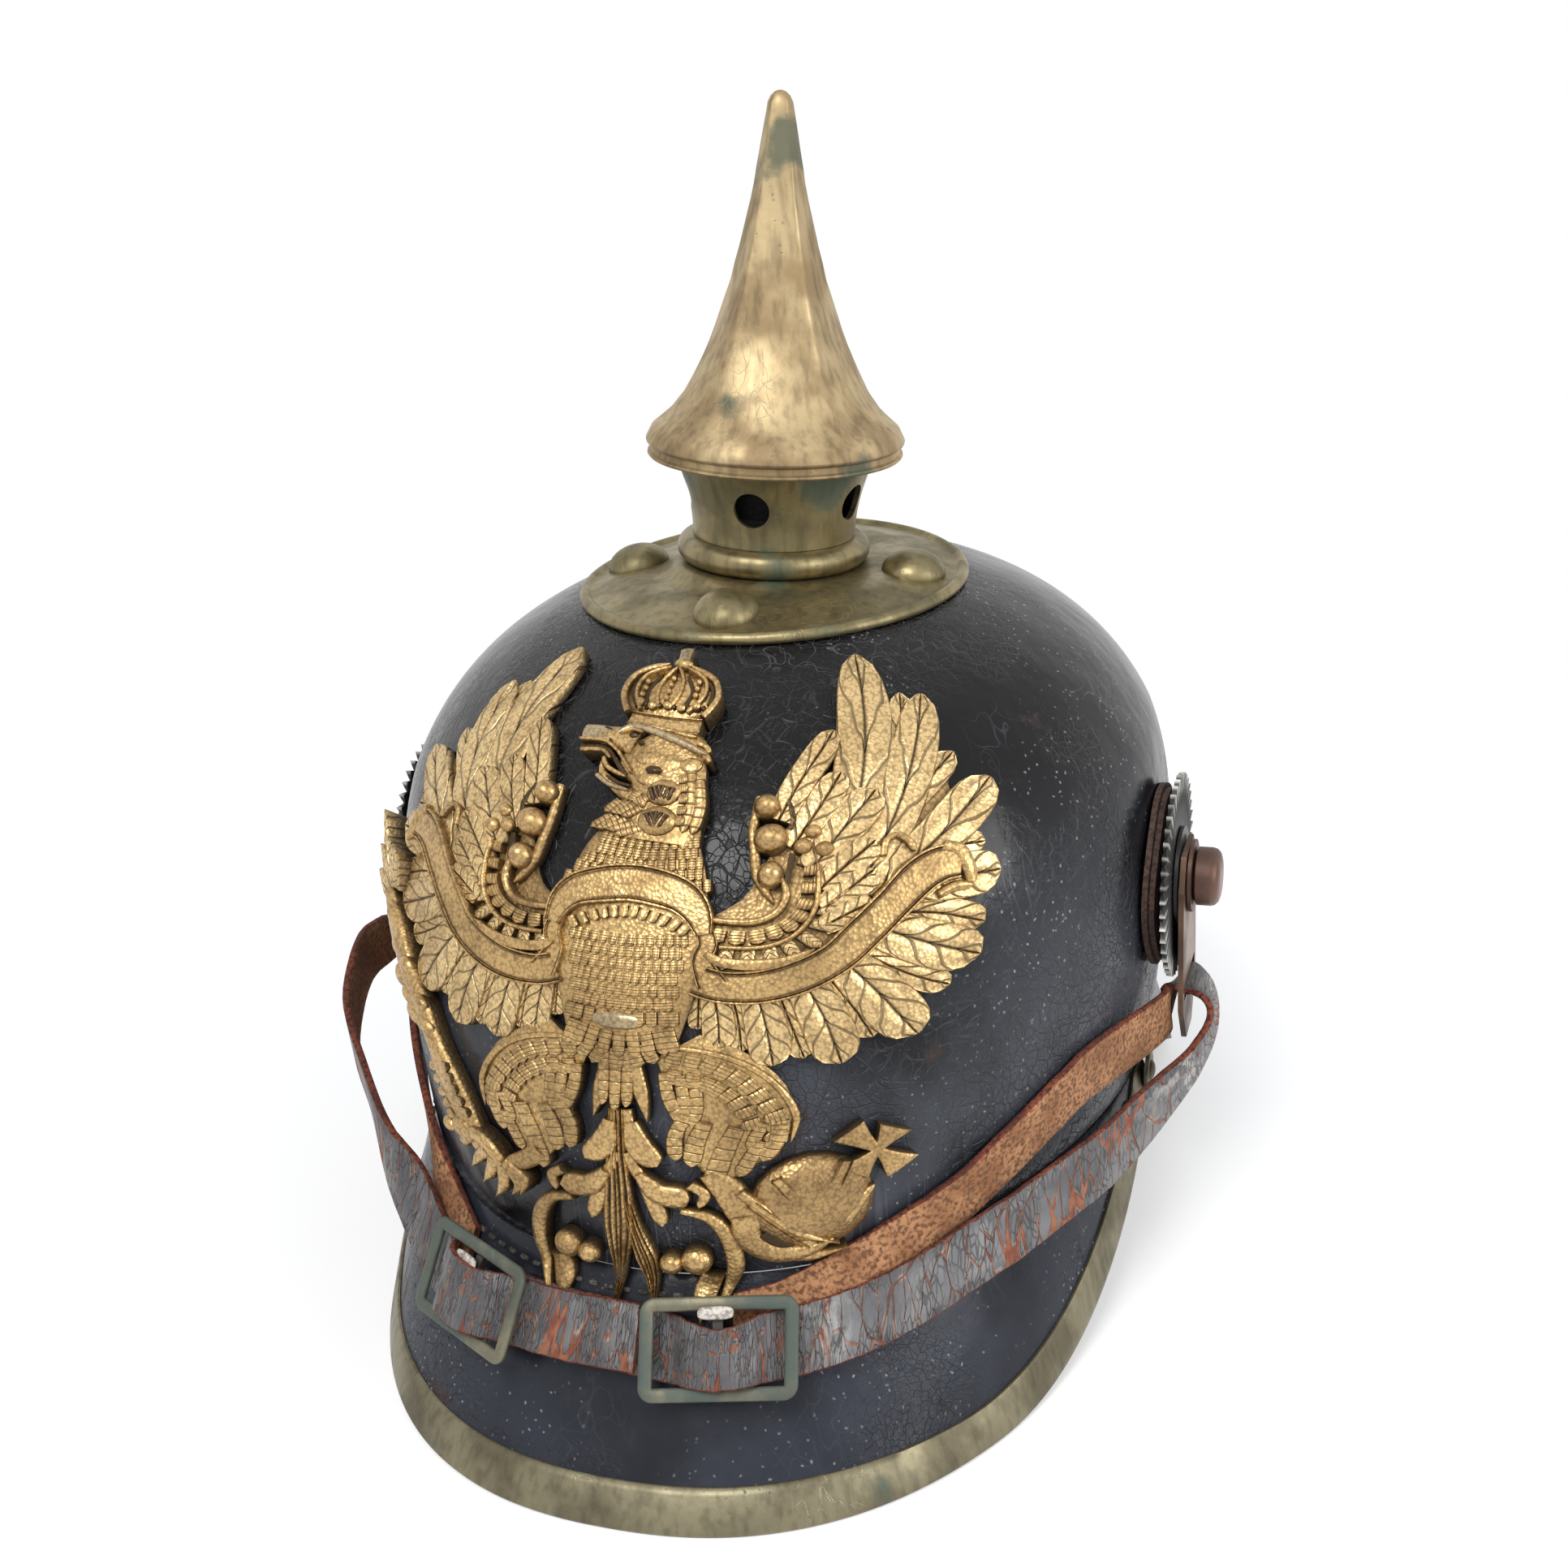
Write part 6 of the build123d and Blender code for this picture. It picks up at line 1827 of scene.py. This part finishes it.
        piece = Bench.sheet(name, columns, rows, place)
        for finish in (self.finishes.strap, self.finishes.strap_back, self.finishes.strap_edge):
            piece.data.materials.append(finish)
        for face in piece.data.polygons:
            across = sum(piece.data.uv_layers.active.data[k].uv.x for k in face.loop_indices) / 4 * columns
            face.material_index = 1 if 2 < across < 6 else 0 if 10 < across < 14 else 2
        Bench.merge(piece)
        Bench.close(piece)
        Bench.smooth(piece, 50)
        return piece

    def buckle(self, name: str, angle: float) -> Piece:
        """Rectangular brass frame with rounded bars."""
        seat, side, run = self.on_hull(angle, self.level, self.frame_lift)
        out = run.cross(side).normalized()
        half = Vector((self.buckle_length / 2 - self.buckle_bar / 2, self.buckle_height / 2 - self.buckle_bar / 2))
        corner, steps, columns = 1.6 * MM, 48, 12
        path = []
        for k, (sx, sy) in enumerate(((1, 1), (-1, 1), (-1, -1), (1, -1))):
            for i in range(steps // 4):
                turn = math.pi / 2 * (k + i / (steps // 4 - 1))
                path.append((sx * (half.x - corner) + corner * math.cos(turn),
                             sy * (half.y - corner) + corner * math.sin(turn)))

        def place(around: float, run_share: float) -> Vector:
            i = round(run_share * steps) % steps
            x, y = path[i]
            turn = TURN * around
            wide = self.buckle_bar / 2 * powered(math.cos(turn), 0.6)
            thick = self.buckle_sheet * 0.62 * powered(math.sin(turn), 0.7)
            tangent = (Vector(path[(i + 1) % steps]) - Vector(path[i - 1])).normalized()
            normal = Vector((tangent.y, -tangent.x))
            flat = Vector((x, y)) + math.copysign(1, normal.dot(Vector((x, y)))) * normal * wide
            return seat + run * flat.x + side * flat.y + out * thick

        piece = Bench.sheet(name, columns, steps, place, merge=True)
        Bench.close(piece)
        return Bench.dress(piece, 60, self.finishes.buckle)

    def slip(self, name: str, angle: float, z: float) -> Piece:
        """Pale rounded slip wedged between the frame's upper bar and the strap."""
        seat, side, run = self.on_hull(angle, z, self.slip_lift)
        turn = Matrix((run, side, run.cross(side))).transposed()
        long, high, thick = self.slip_size

        def place(around: float, up: float) -> Vector:
            ring, rise = TURN * around, math.pi * (up - 0.5)
            x, y = long * powered(math.cos(ring), 0.6), high * powered(math.sin(ring), 0.6)
            return seat + turn @ Vector((x * math.cos(rise), y * math.cos(rise), thick * math.sin(rise)))

        piece = Bench.sheet(name, 28, 12, place, merge=True)
        Bench.close(piece)
        return Bench.dress(piece, 60, self.finishes.bone)

    def build(self) -> None:
        """Builds both strips, both buckles and the slips in them."""
        far, near = self.buckles
        right = self.stations(self.right_inner, self.right_loop, self.right_outer, near, self.right_end, self.layer_one)
        left = self.stations(self.left_inner, self.left_loop, self.left_outer, far, self.left_end, self.layer_two)
        for name, stations, mirrored, node in (("strap_on_the_left_side", right, False, "chinstrap_right"),
                                               ("strap_on_the_right_side", left, True, "chinstrap_left")):
            Bench.hand_over(self.strip(name, stations, mirrored), "chinstrap", "strap_leather", node)
        for side, angle in (("right", near), ("left", -far)):
            Bench.hand_over(self.buckle("buckle_frame_" + side, angle), "chinstrap", "lug_brass", "buckle_" + side)
        for name, angle, z in self.slips:
            Bench.hand_over(self.slip(name, angle, z), "chinstrap", "lug_brass")


@dataclass
class Studio:
    """Camera, lamps, floor and backdrop."""

    distance: float = 452.91 * MM
    height: float = 243.77 * MM
    azimuth: float = 19.22
    yaw: float = 0.15
    pitch: float = 22.06
    roll: float = -4.16
    focal_pixels: float = 2533.0
    frame_pixels: float = 1932.0
    sensor: float = 36.0
    floor_z: float = -40.4 * MM
    floor_glow: float = 0.35
    shadow_reach: tuple[float, float] = (0.16, 0.34)
    sky: float = 0.55
    aim_z: float = 60.0 * MM
    floor_size: float = 6.0
    lamps: tuple[tuple[str, Triple, float, float], ...] = (
        ("key", (-0.10, -1.00, 1.35), 0.7, 13.0), ("side", (1.35, -0.35, 0.60), 0.8, 10.0))

    def build_camera(self) -> None:
        """Sets the camera at the photograph's viewing angle."""
        data = bpy.data.cameras.new("camera")
        data.sensor_width = self.sensor
        data.lens = self.focal_pixels / self.frame_pixels * self.sensor
        data.clip_start = 0.01
        camera = bpy.data.objects.new("camera", data)
        bpy.context.collection.objects.link(camera)
        around, heading = math.radians(self.azimuth), math.radians(self.azimuth + self.yaw)
        pitch, roll = math.radians(self.pitch), math.radians(self.roll)
        ahead = Vector((-math.sin(heading) * math.cos(pitch), math.cos(heading) * math.cos(pitch), -math.sin(pitch)))
        right = Vector((math.cos(heading), math.sin(heading), 0))
        up = right.cross(ahead)
        turned_right = right * math.cos(roll) + up * math.sin(roll)
        turned_up = up * math.cos(roll) - right * math.sin(roll)
        spot = Vector((self.distance * math.sin(around), -self.distance * math.cos(around), self.height))
        camera.matrix_world = Matrix.Translation(spot) @ Matrix((turned_right, turned_up, -ahead)).transposed().to_4x4()
        bpy.context.scene.camera = camera

    def build_lamp(self, name: str, spot: Sequence[float], size: float, power: float) -> None:
        """Adds one square area lamp that faces the middle of the helmet."""
        data = bpy.data.lights.new(name, "AREA")
        data.size = size
        data.energy = power
        lamp = bpy.data.objects.new(name, data)
        bpy.context.collection.objects.link(lamp)
        lamp.location = spot
        lamp.rotation_euler = (Vector((0, 0, self.aim_z)) - Vector(spot)).to_track_quat("-Z", "Y").to_euler()

    def build_floor(self) -> None:
        """Adds the pale floor, which is white to the camera and keeps the helmet's shadow."""
        Bench.clear()
        bpy.ops.mesh.primitive_plane_add(size=self.floor_size, location=(0, 0, 0))
        floor = bpy.context.object
        floor.name = "floor"
        for vertex in floor.data.vertices:
            vertex.co.z = self.floor_z - 0.2 * MM
        paint = Paint("floor white")
        w = paint.wiring
        paint.set(Base_Color=(0.80, 0.80, 0.80), Roughness=0.9)
        far = w.ramp(w.add("ShaderNodeVectorMath", {0: paint.place}, operation="LENGTH").outputs["Value"],
                     *self.shadow_reach)
        seen = self.seen(w)
        glow = w.plus(w.times(far, 1 - self.floor_glow), self.floor_glow)
        light, near = (w.add("ShaderNodeEmission", {"Color": WHITE, "Strength": power}) for power in (1.0, glow))
        both = w.add("ShaderNodeAddShader", {0: paint.shader.outputs[0], 1: near.outputs[0]})
        shown = w.add("ShaderNodeMixShader", {0: far, 1: both.outputs[0], 2: light.outputs[0]})
        mixed = w.add("ShaderNodeMixShader", {0: seen, 1: paint.shader.outputs[0], 2: shown.outputs[0]})
        w.feed(paint.output.inputs[0], mixed.outputs[0])
        floor.data.materials.append(paint.material)

    @staticmethod
    def seen(w: Wiring) -> Socket:
        """1 for rays of the camera, of reflections and of glass."""
        path = w.add("ShaderNodeLightPath").outputs
        return w.most(path["Is Camera Ray"], w.most(path["Is Glossy Ray"], path["Is Transmission Ray"]))

    def build_world(self) -> None:
        """Sets an even pale sky, white where the camera or a reflection sees it."""
        world = bpy.data.worlds.new("studio")
        bpy.context.scene.world = world
        world.use_nodes = True
        world.node_tree.nodes.clear()
        w = Wiring(world.node_tree)
        plain = w.add("ShaderNodeBackground", {"Color": (0.95, 0.97, 1.0), "Strength": self.sky})
        white = w.add("ShaderNodeBackground", {"Color": WHITE, "Strength": 1.0})
        blend = w.add("ShaderNodeMixShader", {0: self.seen(w), 1: plain.outputs[0], 2: white.outputs[0]})
        w.add("ShaderNodeOutputWorld", {0: blend.outputs[0]})

    def build(self) -> None:
        """Builds the studio."""
        self.build_camera()
        self.build_world()
        self.build_floor()
        for lamp in self.lamps:
            self.build_lamp(*lamp)
        bpy.context.scene.view_settings.view_transform = "Standard"


def main() -> None:
    """Builds every piece."""
    logging.basicConfig(level=logging.INFO)
    finishes = Finishes()
    finishes.dress_nodes()
    for assembly in (LeatherBody(finishes), VisorTrim(finishes), TopFitting(finishes), SideFitting(finishes),
                     Chinstrap(finishes), Eagle(finishes), Studio()):
        assembly.build()
        log.info("%s is done", type(assembly).__name__)


if __name__ == "__main__":
    main()
